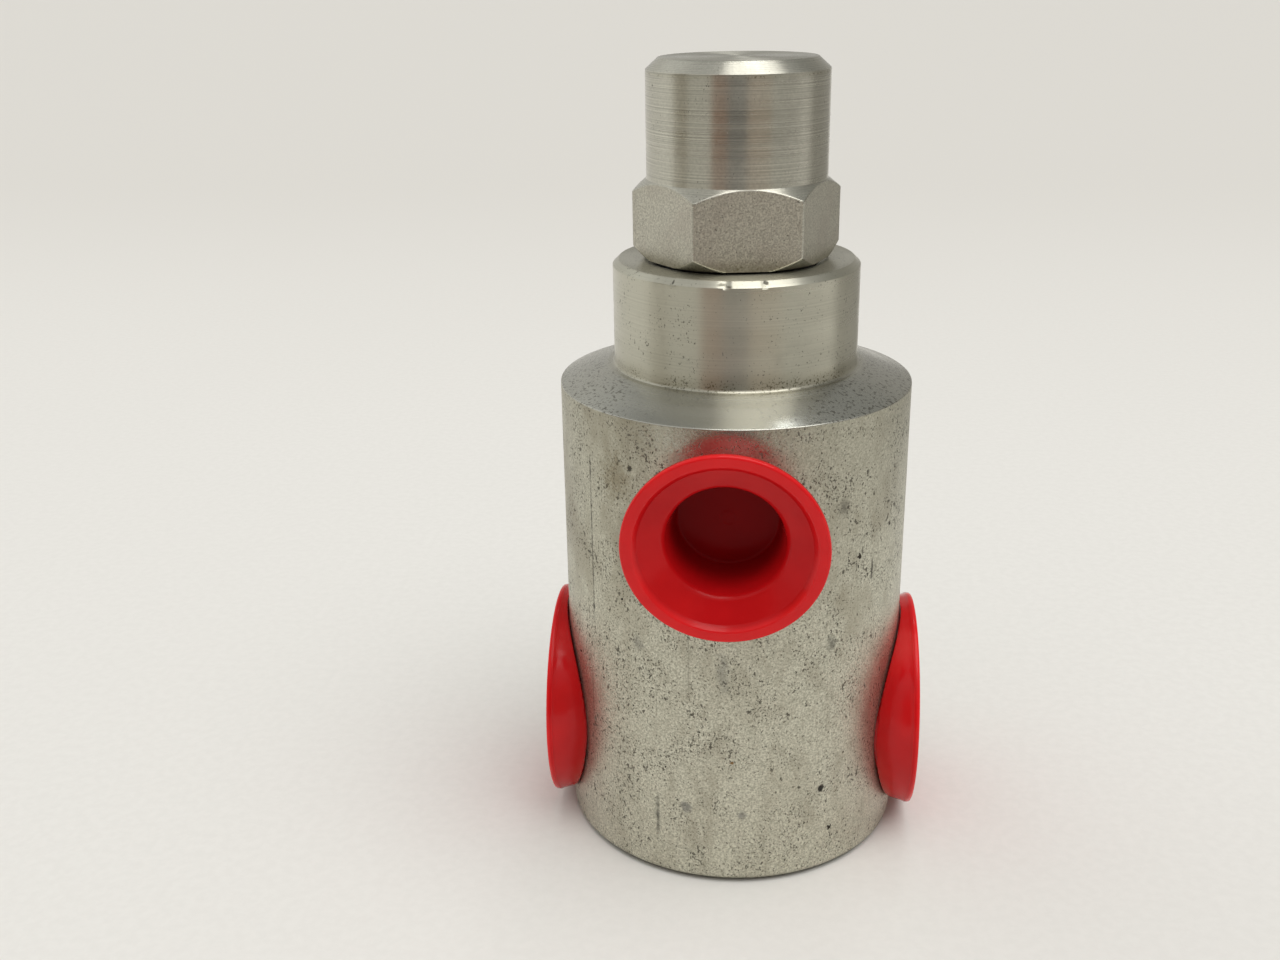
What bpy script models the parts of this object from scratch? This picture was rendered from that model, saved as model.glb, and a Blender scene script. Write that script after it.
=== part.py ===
"""In-line relief valve: a screw-in cartridge in a round bar body with three ported openings.

The body stands on its base, its axis on +Z and the origin at the middle of the base. The pressure
gallery runs along X through the two side ports, and the tank port faces -Y. Fluid lifts the poppet
off its seat against the setting spring, and leaves through the sleeve's side holes. The adjusting
screw sets the spring's load, and stands under a hexagonal screw-on cap.
"""

import math

import bmesh
import bpy
from mathutils import Matrix, Vector

MM = 0.001
GAP = 0.3 * MM
TURN = 2 * math.pi
MERGE_DISTANCE = 0.00001
SMOOTH_ANGLE = math.radians(32)
CONE_CORNER_TO_X = math.radians(-30)

LARGE_SIDES = 64
CAP_SIDES = 48
PLUG_SIDES = 36
SMALL_SIDES = 24
RING_SIDES = 20
HOLE_SIDES = 12
SEAL_SECTION_SIDES = 6
OVERCUT = 2 * MM

# Body, a round bar with a turned neck
BODY_RADIUS = 25.4 * MM
BODY_SHOULDER_Z = 70.0 * MM
FOOT_CHAMFER = 0.9 * MM
NECK_RADIUS = 17.5 * MM
NECK_FOOT_Z = 72.5 * MM
NECK_TOP_Z = 87.5 * MM
NECK_CHAMFER = 0.8 * MM

# Stepped cavity that takes the cartridge, from the mouth down to the gallery
CAVITY_MOUTH_RADIUS = 12.7 * MM
THREAD_BORE_RADIUS = 11.2 * MM
THREAD_BORE_FOOT_Z = 66.0 * MM
UPPER_BORE_RADIUS = 10.2 * MM
UPPER_BORE_FOOT_Z = 46.0 * MM
NOSE_BORE_RADIUS = 7.95 * MM
NOSE_BORE_TOP_Z = 44.0 * MM
NOSE_BORE_FOOT_Z = 20.0 * MM

# Ports: distances from the body's axis
GALLERY_Z = 17.7 * MM
GALLERY_RADIUS = 9.5 * MM
SIDE_PORT_RADIUS = 13.6 * MM
SIDE_PORT_END_RADIUS = 13.1 * MM
SIDE_PORT_END = 11.5 * MM
TANK_PORT_Z = 54.35 * MM
TANK_PORT_RADIUS = 10.7 * MM
TANK_PORT_END_RADIUS = 10.3 * MM
TANK_PORT_END = 13.5 * MM
TANK_PASSAGE_RADIUS = 7.2 * MM
TANK_PASSAGE_END = 6.0 * MM
DRILL_RUNOUT = 2.0 * MM

# Cap: a hexagon and a plain cylinder in one piece
CAP_FOOT_Z = NECK_TOP_Z + GAP
CAP_HEX_RADIUS = 14.63 * MM
CAP_HEX_YAW = math.radians(8.4)
CAP_HEX_CHAMFER_RADIUS = 14.9 * MM
CAP_HEX_FOOT_RADIUS = 13.0 * MM
CAP_HEX_TOP_Z = 98.6 * MM
CAP_HEX_TOP_SLOPE = math.tan(math.radians(40))
CAP_RADIUS = 12.58 * MM
CAP_TOP_Z = 114.6 * MM
CAP_TOP_CHAMFER_WIDTH = 1.74 * MM
CAP_TOP_CHAMFER_HEIGHT = 1.56 * MM
CAP_SEAL_POCKET_RADIUS = 11.9 * MM
CAP_SEAL_POCKET_DEPTH = 1.8 * MM
CAP_THREAD_RADIUS = 9.6 * MM
CAP_THREAD_TOP_Z = 95.8 * MM
CAP_CHAMBER_RADIUS = 8.8 * MM
CAP_CHAMBER_TOP_Z = 111.0 * MM
CAP_CHAMBER_CHAMFER = 1.3 * MM
CAP_SEAL_INNER_RADIUS = 9.7 * MM
CAP_SEAL_OUTER_RADIUS = 11.5 * MM
CAP_SEAL_THICKNESS = 1.0 * MM

# Gland: screws into the cavity, and carries the cap and the adjusting screw
GLAND_FOOT_Z = 66.3 * MM
GLAND_RADIUS = 10.9 * MM
GLAND_THREAD_TOP_Z = 85.7 * MM
GLAND_FOOT_CHAMFER = 0.6 * MM
STUB_RADIUS = 9.3 * MM
STUB_TOP_Z = 94.5 * MM
STUB_CHAMFER = 0.4 * MM
GLAND_HEX_RADIUS = 8.25 * MM
GLAND_HEX_ROOT_Z = 90.0 * MM
GLAND_HEX_TOP_Z = 100.0 * MM
SPRING_CHAMBER_RADIUS = 7.6 * MM
SPRING_CHAMBER_TOP_Z = 85.2 * MM
SCREW_HOLE_RADIUS = 5.05 * MM
GLAND_SEAL_RADIUS = 10.6 * MM
GLAND_SEAL_SECTION = 0.75 * MM
GLAND_SEAL_Z = 86.75 * MM

# Adjusting screw, its lock nut and washer
SCREW_RADIUS = 4.75 * MM
SCREW_FOOT_Z = 84.2 * MM
SCREW_TOP_Z = 108.5 * MM
SCREW_POINT = 0.7 * MM
SCREW_CHAMFER = 0.55 * MM
SOCKET_RADIUS = 2.75 * MM
SOCKET_DEPTH = 5.0 * MM
WASHER_RADIUS = 7.6 * MM
WASHER_THICKNESS = 0.8 * MM
NUT_HEX_RADIUS = 8.25 * MM
NUT_HEIGHT = 5.0 * MM
NUT_CHAMFER_RADIUS = 7.3 * MM
NUT_CHAMFER_HEIGHT = 0.6 * MM
NUT_YAW = math.radians(-11)

# Spring button: a sealed piston between the screw and the spring
BUTTON_FOOT_Z = 78.1 * MM
BUTTON_TOP_Z = 83.9 * MM
BUTTON_RADIUS = 7.3 * MM
BUTTON_GROOVE_RADIUS = 5.6 * MM
BUTTON_GROOVE_FOOT_Z = 79.9 * MM
BUTTON_GROOVE_TOP_Z = 82.1 * MM
BUTTON_SPIGOT_RADIUS = 3.3 * MM
BUTTON_SPIGOT_LENGTH = 2.6 * MM
BUTTON_CHAMFER = 0.4 * MM
BUTTON_SEAL_RADIUS = 6.6 * MM
BUTTON_SEAL_SECTION = 0.65 * MM
BUTTON_SEAL_Z = 81.0 * MM

# Setting spring
SPRING_FOOT_Z = 59.6 * MM
SPRING_TOP_Z = 77.8 * MM
SPRING_WIRE_RADIUS = 0.95 * MM
SPRING_MEAN_RADIUS = 4.7 * MM
SPRING_TURNS = 5.5
SPRING_STEPS_PER_TURN = 16
SPRING_WIRE_SIDES = 6

# Spring guide and poppet
GUIDE_RADIUS = 5.8 * MM
GUIDE_FOOT_Z = 56.3 * MM
GUIDE_TOP_Z = 59.3 * MM
GUIDE_SPIGOT_RADIUS = 3.2 * MM
GUIDE_SPIGOT_TOP_Z = 63.0 * MM
GUIDE_CHAMFER = 0.4 * MM
POPPET_TIP_Z = 42.8 * MM
POPPET_TIP_RADIUS = 1.5 * MM
POPPET_HEAD_RADIUS = 5.4 * MM
POPPET_HEAD_TOP_Z = 48.2 * MM
POPPET_STEM_RADIUS = 3.0 * MM
POPPET_TOP_Z = 56.0 * MM

# Seat and cartridge sleeve
SEAT_RADIUS = 5.9 * MM
SEAT_HOLE_RADIUS = 4.0 * MM
SEAT_FOOT_Z = 40.3 * MM
SEAT_TOP_Z = 44.7 * MM
SEAT_CHAMFER = 0.4 * MM
SLEEVE_FOOT_Z = 26.5 * MM
SLEEVE_NOSE_RADIUS = 7.65 * MM
SLEEVE_NOSE_CHAMFER = 1.0 * MM
SLEEVE_NOSE_TOP_Z = 44.0 * MM
SLEEVE_GROOVE_RADIUS = 5.9 * MM
SLEEVE_GROOVE_FOOT_Z = 32.0 * MM
SLEEVE_GROOVE_TOP_Z = 38.4 * MM
SLEEVE_WAIST_RADIUS = 8.6 * MM
SLEEVE_WAIST_FOOT_Z = 45.4 * MM
SLEEVE_FLANGE_RADIUS = 9.9 * MM
SLEEVE_FLANGE_FOOT_Z = 62.0 * MM
SLEEVE_FLANGE_TOP_Z = 66.0 * MM
SLEEVE_SPIGOT_RADIUS = 7.3 * MM
SLEEVE_SPIGOT_TOP_Z = 70.0 * MM
SLEEVE_INLET_RADIUS = 4.8 * MM
SLEEVE_SEAT_Z = 40.0 * MM
SLEEVE_BORE_RADIUS = 6.2 * MM
SLEEVE_HOLE_RADIUS = 2.8 * MM
SLEEVE_HOLE_Z = 50.5 * MM
SLEEVE_HOLE_PAIRS = 3

# Seals in the sleeve's groove
NOSE_SEAL_RADIUS = 6.92 * MM
NOSE_SEAL_SECTION = 0.66 * MM
BACKUP_INNER_RADIUS = 6.2 * MM
BACKUP_OUTER_RADIUS = 7.6 * MM
BACKUP_THICKNESS = 1.1 * MM
BACKUP_OFFSET = 2.3 * MM

# Port plugs: a bowl-backed flange around a cup, depths measured from the rim's face
RIM_DEPTH = 0.8 * MM
PLUG_FLOOR_DEPTH = 10.0 * MM
PLUG_LENGTH = 11.2 * MM
PLUG_EDGE_ROUND = 0.35 * MM
PLUG_EDGE_DEPTH = 0.9 * MM
PLUG_LIP = 0.3 * MM
PLUG_FILLET = 0.5 * MM
BARREL_ROOT_DEPTH = 1.6 * MM
BOWL_STEPS = 6

# The plugs sit a little unevenly: the front one leans down and to the left, the left one is pushed in further
FRONT_PLUG_DISTANCE = 29.1 * MM
FRONT_PLUG_OFFSET = -0.5 * MM
FRONT_PLUG_TILT = math.radians(5.5)
FRONT_PLUG_YAW = math.radians(1.0)
LEFT_PLUG_DISTANCE = 27.4 * MM
RIGHT_PLUG_DISTANCE = 27.8 * MM

FRONT_PLUG = {
    "flange_radius": 13.9 * MM,
    "rim_radius": 12.1 * MM,
    "mouth_radius": 8.8 * MM,
    "mouth_depth": 2.4 * MM,
    "cup_radius": 8.0 * MM,
    "floor_radius": 7.3 * MM,
    "bowl_radius": 10.2 * MM,
    "bowl_depth": 6.2 * MM,
    "bowl_curve": 1.15,
    "neck_radius": 9.6 * MM,
    "neck_depth": 4.4 * MM,
    "barrel_radius": 9.3 * MM,
    "barrel_depth": 5.2 * MM,
    "end_radius": 8.8 * MM,
}
SIDE_PLUG = {
    "flange_radius": 16.3 * MM,
    "rim_radius": 14.5 * MM,
    "mouth_radius": 11.0 * MM,
    "mouth_depth": 2.2 * MM,
    "cup_radius": 10.3 * MM,
    "floor_radius": 9.6 * MM,
    "bowl_radius": 13.35 * MM,
    "bowl_depth": 6.2 * MM,
    "bowl_curve": 2.0,
    "neck_radius": 13.2 * MM,
    "neck_depth": 6.4 * MM,
    "barrel_radius": 12.0 * MM,
    "barrel_depth": 7.8 * MM,
    "end_radius": 11.4 * MM,
}

COLOURS = {
    "drawn_bar": ((0.42, 0.42, 0.38), 0.45, 0.9),
    "plated_cap": ((0.50, 0.49, 0.44), 0.35, 1.0),
    "plated_steel": ((0.55, 0.52, 0.38), 0.35, 1.0),
    "hardened_steel": ((0.36, 0.36, 0.37), 0.25, 1.0),
    "black_steel": ((0.05, 0.05, 0.05), 0.45, 0.8),
    "spring_steel": ((0.22, 0.22, 0.23), 0.35, 1.0),
    "black_rubber": ((0.02, 0.02, 0.02), 0.6, 0.0),
    "white_plastic": ((0.75, 0.73, 0.68), 0.5, 0.0),
    "red_plastic": ((0.72, 0.02, 0.03), 0.32, 0.0),
}


def clear_scene():
    for item in list(bpy.data.objects):
        bpy.data.objects.remove(item, do_unlink=True)


def make_materials():
    made = {}
    for name, (colour, roughness, metallic) in COLOURS.items():
        material = bpy.data.materials.new(name)
        material.use_nodes = True
        shader = material.node_tree.nodes["Principled BSDF"]
        shader.inputs["Base Color"].default_value = (*colour, 1.0)
        shader.inputs["Roughness"].default_value = roughness
        shader.inputs["Metallic"].default_value = metallic
        made[name] = material
    return made


def new_object(name, mesh, material=None):
    item = bpy.data.objects.new(name, mesh)
    bpy.context.scene.collection.objects.link(item)
    if material:
        mesh.materials.append(material)
        mesh.shade_smooth()
        mesh.set_sharp_from_angle(angle=SMOOTH_ANGLE)
    return item


def as_cutter(item):
    item.hide_render = True
    item.display_type = "WIRE"
    return item


def turned(name, outline, sides, material=None, foot=0.0):
    """A body of revolution about Z. The outline's (radius, height) points run down the outside."""
    mesh = bpy.data.meshes.new(name)
    points = [(radius, 0.0, height - foot) for radius, height in outline]
    closed = min(radius for radius, _ in outline) > 0
    edges = [(i, i + 1) for i in range(len(points) - 1)]
    if closed:
        edges.append((len(points) - 1, 0))
    mesh.from_pydata(points, edges, [])
    item = new_object(name, mesh, material)
    item.location.z = foot
    screw = item.modifiers.new("turn", "SCREW")
    screw.axis = "Z"
    screw.angle = TURN
    screw.steps = sides
    screw.render_steps = sides
    screw.use_merge_vertices = True
    screw.merge_threshold = MERGE_DISTANCE
    screw.use_smooth_shade = True
    return item


def turned_cutter(name, outline, sides):
    return as_cutter(turned(name, outline, sides))


def hex_prism(name, radius, low, high, yaw=0.0):
    """A hexagonal bar on Z, used as a cutter or joined to another piece. At no yaw a corner is on +X."""
    mesh = bpy.data.meshes.new(name)
    shape = bmesh.new()
    middle = (low + high) / 2
    turn = Matrix.Rotation(yaw + CONE_CORNER_TO_X, 4, "Z")
    place = Matrix.Translation((0.0, 0.0, middle)) @ turn
    bmesh.ops.create_cone(
        shape, cap_ends=True, segments=6, radius1=radius, radius2=radius, depth=high - low, matrix=place
    )
    shape.to_mesh(mesh)
    shape.free()
    return as_cutter(new_object(name, mesh))


def boolean(item, operation, tool):
    """Cut, join or trim item with tool, which is moved and turned in world space."""
    step = item.modifiers.new(tool.name, "BOOLEAN")
    step.operation = operation
    step.solver = "EXACT"
    step.object = tool


def place(item, location, direction):
    """Move an item, and turn its own Z axis to a world direction."""
    item.location = location
    item.rotation_mode = "QUATERNION"
    item.rotation_quaternion = Vector((0.0, 0.0, 1.0)).rotation_difference(Vector(direction))


def seal_ring(name, ring_radius, section, height, material):
    """An O-ring of round section."""
    outline = []
    for i in range(SEAL_SECTION_SIDES):
        angle = -TURN * i / SEAL_SECTION_SIDES
        outline.append((ring_radius + section * math.cos(angle), height + section * math.sin(angle)))
    return turned(name, outline, RING_SIDES, material, height)


def flat_ring(name, inner, outer, low, high, material):
    outline = [(inner, high), (outer, high), (outer, low), (inner, low)]
    return turned(name, outline, RING_SIDES, material, low)


def line_body(materials):
    outline = [
        (0.0, NOSE_BORE_FOOT_Z),
        (NOSE_BORE_RADIUS, NOSE_BORE_FOOT_Z),
        (NOSE_BORE_RADIUS, NOSE_BORE_TOP_Z),
        (UPPER_BORE_RADIUS, UPPER_BORE_FOOT_Z),
        (UPPER_BORE_RADIUS, THREAD_BORE_FOOT_Z - (THREAD_BORE_RADIUS - UPPER_BORE_RADIUS)),
        (THREAD_BORE_RADIUS, THREAD_BORE_FOOT_Z),
        (THREAD_BORE_RADIUS, NECK_TOP_Z - (CAVITY_MOUTH_RADIUS - THREAD_BORE_RADIUS)),
        (CAVITY_MOUTH_RADIUS, NECK_TOP_Z),
        (NECK_RADIUS - NECK_CHAMFER, NECK_TOP_Z),
        (NECK_RADIUS, NECK_TOP_Z - NECK_CHAMFER),
        (NECK_RADIUS, NECK_FOOT_Z),
        (BODY_RADIUS, BODY_SHOULDER_Z),
        (BODY_RADIUS, FOOT_CHAMFER),
        (BODY_RADIUS - FOOT_CHAMFER, 0.0),
        (0.0, 0.0),
    ]
    body = turned("line_body", outline, LARGE_SIDES, materials["drawn_bar"])

    far = BODY_RADIUS + OVERCUT
    gallery_outline = [
        (0.0, far),
        (SIDE_PORT_RADIUS, far),
        (SIDE_PORT_END_RADIUS, SIDE_PORT_END),
        (GALLERY_RADIUS, SIDE_PORT_END - DRILL_RUNOUT),
        (GALLERY_RADIUS, -SIDE_PORT_END + DRILL_RUNOUT),
        (SIDE_PORT_END_RADIUS, -SIDE_PORT_END),
        (SIDE_PORT_RADIUS, -far),
        (0.0, -far),
    ]
    gallery = turned_cutter("gallery_cutter", gallery_outline, PLUG_SIDES)
    place(gallery, (0.0, 0.0, GALLERY_Z), (1.0, 0.0, 0.0))
    boolean(body, "DIFFERENCE", gallery)

    tank_outline = [
        (0.0, far),
        (TANK_PORT_RADIUS, far),
        (TANK_PORT_END_RADIUS, TANK_PORT_END),
        (TANK_PASSAGE_RADIUS, TANK_PORT_END - DRILL_RUNOUT),
        (TANK_PASSAGE_RADIUS, TANK_PASSAGE_END),
        (0.0, TANK_PASSAGE_END),
    ]
    tank = turned_cutter("tank_port_cutter", tank_outline, PLUG_SIDES)
    place(tank, (0.0, 0.0, TANK_PORT_Z), (0.0, -1.0, 0.0))
    boolean(body, "DIFFERENCE", tank)
    return body


def cap(materials):
    slope_drop = (CAP_HEX_CHAMFER_RADIUS - CAP_RADIUS) * CAP_HEX_TOP_SLOPE
    outline = [
        (0.0, CAP_TOP_Z),
        (CAP_RADIUS - CAP_TOP_CHAMFER_WIDTH, CAP_TOP_Z),
        (CAP_RADIUS, CAP_TOP_Z - CAP_TOP_CHAMFER_HEIGHT),
        (CAP_RADIUS, CAP_HEX_TOP_Z),
        (CAP_HEX_CHAMFER_RADIUS, CAP_HEX_TOP_Z - slope_drop),
        (CAP_HEX_CHAMFER_RADIUS, CAP_FOOT_Z + CAP_HEX_CHAMFER_RADIUS - CAP_HEX_FOOT_RADIUS),
        (CAP_HEX_FOOT_RADIUS, CAP_FOOT_Z),
        (CAP_SEAL_POCKET_RADIUS, CAP_FOOT_Z),
        (CAP_SEAL_POCKET_RADIUS, CAP_FOOT_Z + CAP_SEAL_POCKET_DEPTH),
        (CAP_THREAD_RADIUS, CAP_FOOT_Z + CAP_SEAL_POCKET_DEPTH),
        (CAP_THREAD_RADIUS, CAP_THREAD_TOP_Z),
        (CAP_CHAMBER_RADIUS, CAP_THREAD_TOP_Z + CAP_THREAD_RADIUS - CAP_CHAMBER_RADIUS),
        (CAP_CHAMBER_RADIUS, CAP_CHAMBER_TOP_Z - CAP_CHAMBER_CHAMFER),
        (CAP_CHAMBER_RADIUS - CAP_CHAMBER_CHAMFER, CAP_CHAMBER_TOP_Z),
        (0.0, CAP_CHAMBER_TOP_Z),
    ]
    item = turned("cap", outline, CAP_SIDES, materials["plated_cap"], CAP_FOOT_Z)
    low = CAP_FOOT_Z - OVERCUT
    flats = hex_prism("cap_flats_cutter", CAP_HEX_RADIUS, low, CAP_TOP_Z + OVERCUT, CAP_HEX_YAW)
    boolean(item, "INTERSECT", flats)
    return item


def cap_seal(materials):
    low = CAP_FOOT_Z + (CAP_SEAL_POCKET_DEPTH - CAP_SEAL_THICKNESS) / 2
    high = low + CAP_SEAL_THICKNESS
    return flat_ring(
        "cap_seal", CAP_SEAL_INNER_RADIUS, CAP_SEAL_OUTER_RADIUS, low, high, materials["black_rubber"]
    )


def cartridge_gland(materials):
    outline = [
        (0.0, STUB_TOP_Z),
        (STUB_RADIUS - STUB_CHAMFER, STUB_TOP_Z),
        (STUB_RADIUS, STUB_TOP_Z - STUB_CHAMFER),
        (STUB_RADIUS, GLAND_THREAD_TOP_Z),
        (GLAND_RADIUS, GLAND_THREAD_TOP_Z),
        (GLAND_RADIUS, GLAND_FOOT_Z + GLAND_FOOT_CHAMFER),
        (GLAND_RADIUS - GLAND_FOOT_CHAMFER, GLAND_FOOT_Z),
        (0.0, GLAND_FOOT_Z),
    ]
    gland = turned("cartridge_gland", outline, SMALL_SIDES, materials["plated_steel"], GLAND_FOOT_Z)
    flats = hex_prism("gland_flats", GLAND_HEX_RADIUS, GLAND_HEX_ROOT_Z, GLAND_HEX_TOP_Z)
    boolean(gland, "UNION", flats)
    bore_outline = [
        (0.0, GLAND_HEX_TOP_Z + OVERCUT),
        (SCREW_HOLE_RADIUS, GLAND_HEX_TOP_Z + OVERCUT),
        (SCREW_HOLE_RADIUS, SPRING_CHAMBER_TOP_Z),
        (SPRING_CHAMBER_RADIUS, SPRING_CHAMBER_TOP_Z),
        (SPRING_CHAMBER_RADIUS, GLAND_FOOT_Z - OVERCUT),
        (0.0, GLAND_FOOT_Z - OVERCUT),
    ]
    boolean(gland, "DIFFERENCE", turned_cutter("gland_bore_cutter", bore_outline, SMALL_SIDES))
    return gland


def adjusting_screw(materials):
    outline = [
        (0.0, SCREW_TOP_Z),
        (SCREW_RADIUS - SCREW_CHAMFER, SCREW_TOP_Z),
        (SCREW_RADIUS, SCREW_TOP_Z - SCREW_CHAMFER),
        (SCREW_RADIUS, SCREW_FOOT_Z + SCREW_POINT),
        (SCREW_RADIUS - SCREW_POINT, SCREW_FOOT_Z),
        (0.0, SCREW_FOOT_Z),
    ]
    screw = turned("adjusting_screw", outline, SMALL_SIDES, materials["black_steel"], SCREW_FOOT_Z)
    low = SCREW_TOP_Z - SOCKET_DEPTH
    boolean(screw, "DIFFERENCE", hex_prism("socket_cutter", SOCKET_RADIUS, low, SCREW_TOP_Z + OVERCUT))
    return screw


def lock_washer(materials):
    low = GLAND_HEX_TOP_Z + GAP
    high = low + WASHER_THICKNESS
    return flat_ring(
        "lock_washer", SCREW_HOLE_RADIUS, WASHER_RADIUS, low, high, materials["white_plastic"]
    )


def lock_nut(materials):
    low = GLAND_HEX_TOP_Z + GAP + WASHER_THICKNESS + GAP
    high = low + NUT_HEIGHT
    widest = NUT_HEX_RADIUS + GAP
    outline = [
        (SCREW_HOLE_RADIUS, high),
        (NUT_CHAMFER_RADIUS, high),
        (widest, high - NUT_CHAMFER_HEIGHT),
        (widest, low + NUT_CHAMFER_HEIGHT),
        (NUT_CHAMFER_RADIUS, low),
        (SCREW_HOLE_RADIUS, low),
    ]
    nut = turned("lock_nut", outline, SMALL_SIDES, materials["plated_steel"], low)
    flats = hex_prism("nut_flats_cutter", NUT_HEX_RADIUS, low - OVERCUT, high + OVERCUT, NUT_YAW)
    boolean(nut, "INTERSECT", flats)
    return nut


def spring_button(materials):
    spigot_foot = BUTTON_FOOT_Z - BUTTON_SPIGOT_LENGTH
    outline = [
        (0.0, BUTTON_TOP_Z),
        (BUTTON_RADIUS - BUTTON_CHAMFER, BUTTON_TOP_Z),
        (BUTTON_RADIUS, BUTTON_TOP_Z - BUTTON_CHAMFER),
        (BUTTON_RADIUS, BUTTON_GROOVE_TOP_Z),
        (BUTTON_GROOVE_RADIUS, BUTTON_GROOVE_TOP_Z),
        (BUTTON_GROOVE_RADIUS, BUTTON_GROOVE_FOOT_Z),
        (BUTTON_RADIUS, BUTTON_GROOVE_FOOT_Z),
        (BUTTON_RADIUS, BUTTON_FOOT_Z),
        (BUTTON_SPIGOT_RADIUS, BUTTON_FOOT_Z),
        (BUTTON_SPIGOT_RADIUS, spigot_foot + BUTTON_CHAMFER),
        (BUTTON_SPIGOT_RADIUS - BUTTON_CHAMFER, spigot_foot),
        (0.0, spigot_foot),
    ]
    return turned("spring_button", outline, SMALL_SIDES, materials["hardened_steel"], BUTTON_FOOT_Z)


def setting_spring(materials):
    """A helical wire whose section turns with the coil, its two ends capped."""
    mesh = bpy.data.meshes.new("setting_spring")
    shape = bmesh.new()
    steps = round(SPRING_TURNS * SPRING_STEPS_PER_TURN)
    low = SPRING_FOOT_Z + SPRING_WIRE_RADIUS
    rise = SPRING_TOP_Z - SPRING_FOOT_Z - 2 * SPRING_WIRE_RADIUS
    rings = []
    for i in range(steps + 1):
        angle = TURN * i / SPRING_STEPS_PER_TURN
        outward = Vector((math.cos(angle), math.sin(angle), 0.0))
        centre = outward * SPRING_MEAN_RADIUS + Vector((0.0, 0.0, low + rise * i / steps))
        ring = []
        for k in range(SPRING_WIRE_SIDES):
            around = TURN * k / SPRING_WIRE_SIDES
            offset = outward * math.cos(around) + Vector((0.0, 0.0, math.sin(around)))
            ring.append(shape.verts.new(centre + offset * SPRING_WIRE_RADIUS))
        rings.append(ring)
    for lower, upper in zip(rings, rings[1:]):
        for k in range(SPRING_WIRE_SIDES):
            after = (k + 1) % SPRING_WIRE_SIDES
            shape.faces.new((lower[k], upper[k], upper[after], lower[after]))
    shape.faces.new(rings[0])
    shape.faces.new(reversed(rings[-1]))
    bmesh.ops.recalc_face_normals(shape, faces=shape.faces)
    shape.to_mesh(mesh)
    shape.free()
    return new_object("setting_spring", mesh, materials["spring_steel"])


def spring_guide(materials):
    outline = [
        (0.0, GUIDE_SPIGOT_TOP_Z),
        (GUIDE_SPIGOT_RADIUS - GUIDE_CHAMFER, GUIDE_SPIGOT_TOP_Z),
        (GUIDE_SPIGOT_RADIUS, GUIDE_SPIGOT_TOP_Z - GUIDE_CHAMFER),
        (GUIDE_SPIGOT_RADIUS, GUIDE_TOP_Z),
        (GUIDE_RADIUS, GUIDE_TOP_Z),
        (GUIDE_RADIUS, GUIDE_FOOT_Z),
        (0.0, GUIDE_FOOT_Z),
    ]
    return turned("spring_guide", outline, RING_SIDES, materials["hardened_steel"], GUIDE_FOOT_Z)


def poppet(materials):
    cone_top = POPPET_TIP_Z + POPPET_HEAD_RADIUS - POPPET_TIP_RADIUS
    outline = [
        (0.0, POPPET_TOP_Z),
        (POPPET_STEM_RADIUS, POPPET_TOP_Z),
        (POPPET_STEM_RADIUS, POPPET_HEAD_TOP_Z),
        (POPPET_HEAD_RADIUS, POPPET_HEAD_TOP_Z),
        (POPPET_HEAD_RADIUS, cone_top),
        (POPPET_TIP_RADIUS, POPPET_TIP_Z),
        (0.0, POPPET_TIP_Z),
    ]
    return turned("poppet", outline, RING_SIDES, materials["hardened_steel"], POPPET_TIP_Z)


def valve_seat(materials):
    outline = [
        (SEAT_HOLE_RADIUS, SEAT_TOP_Z),
        (SEAT_RADIUS, SEAT_TOP_Z),
        (SEAT_RADIUS, SEAT_FOOT_Z + SEAT_CHAMFER),
        (SEAT_RADIUS - SEAT_CHAMFER, SEAT_FOOT_Z),
        (SEAT_HOLE_RADIUS, SEAT_FOOT_Z),
    ]
    return turned("valve_seat", outline, RING_SIDES, materials["hardened_steel"], SEAT_FOOT_Z)


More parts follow.
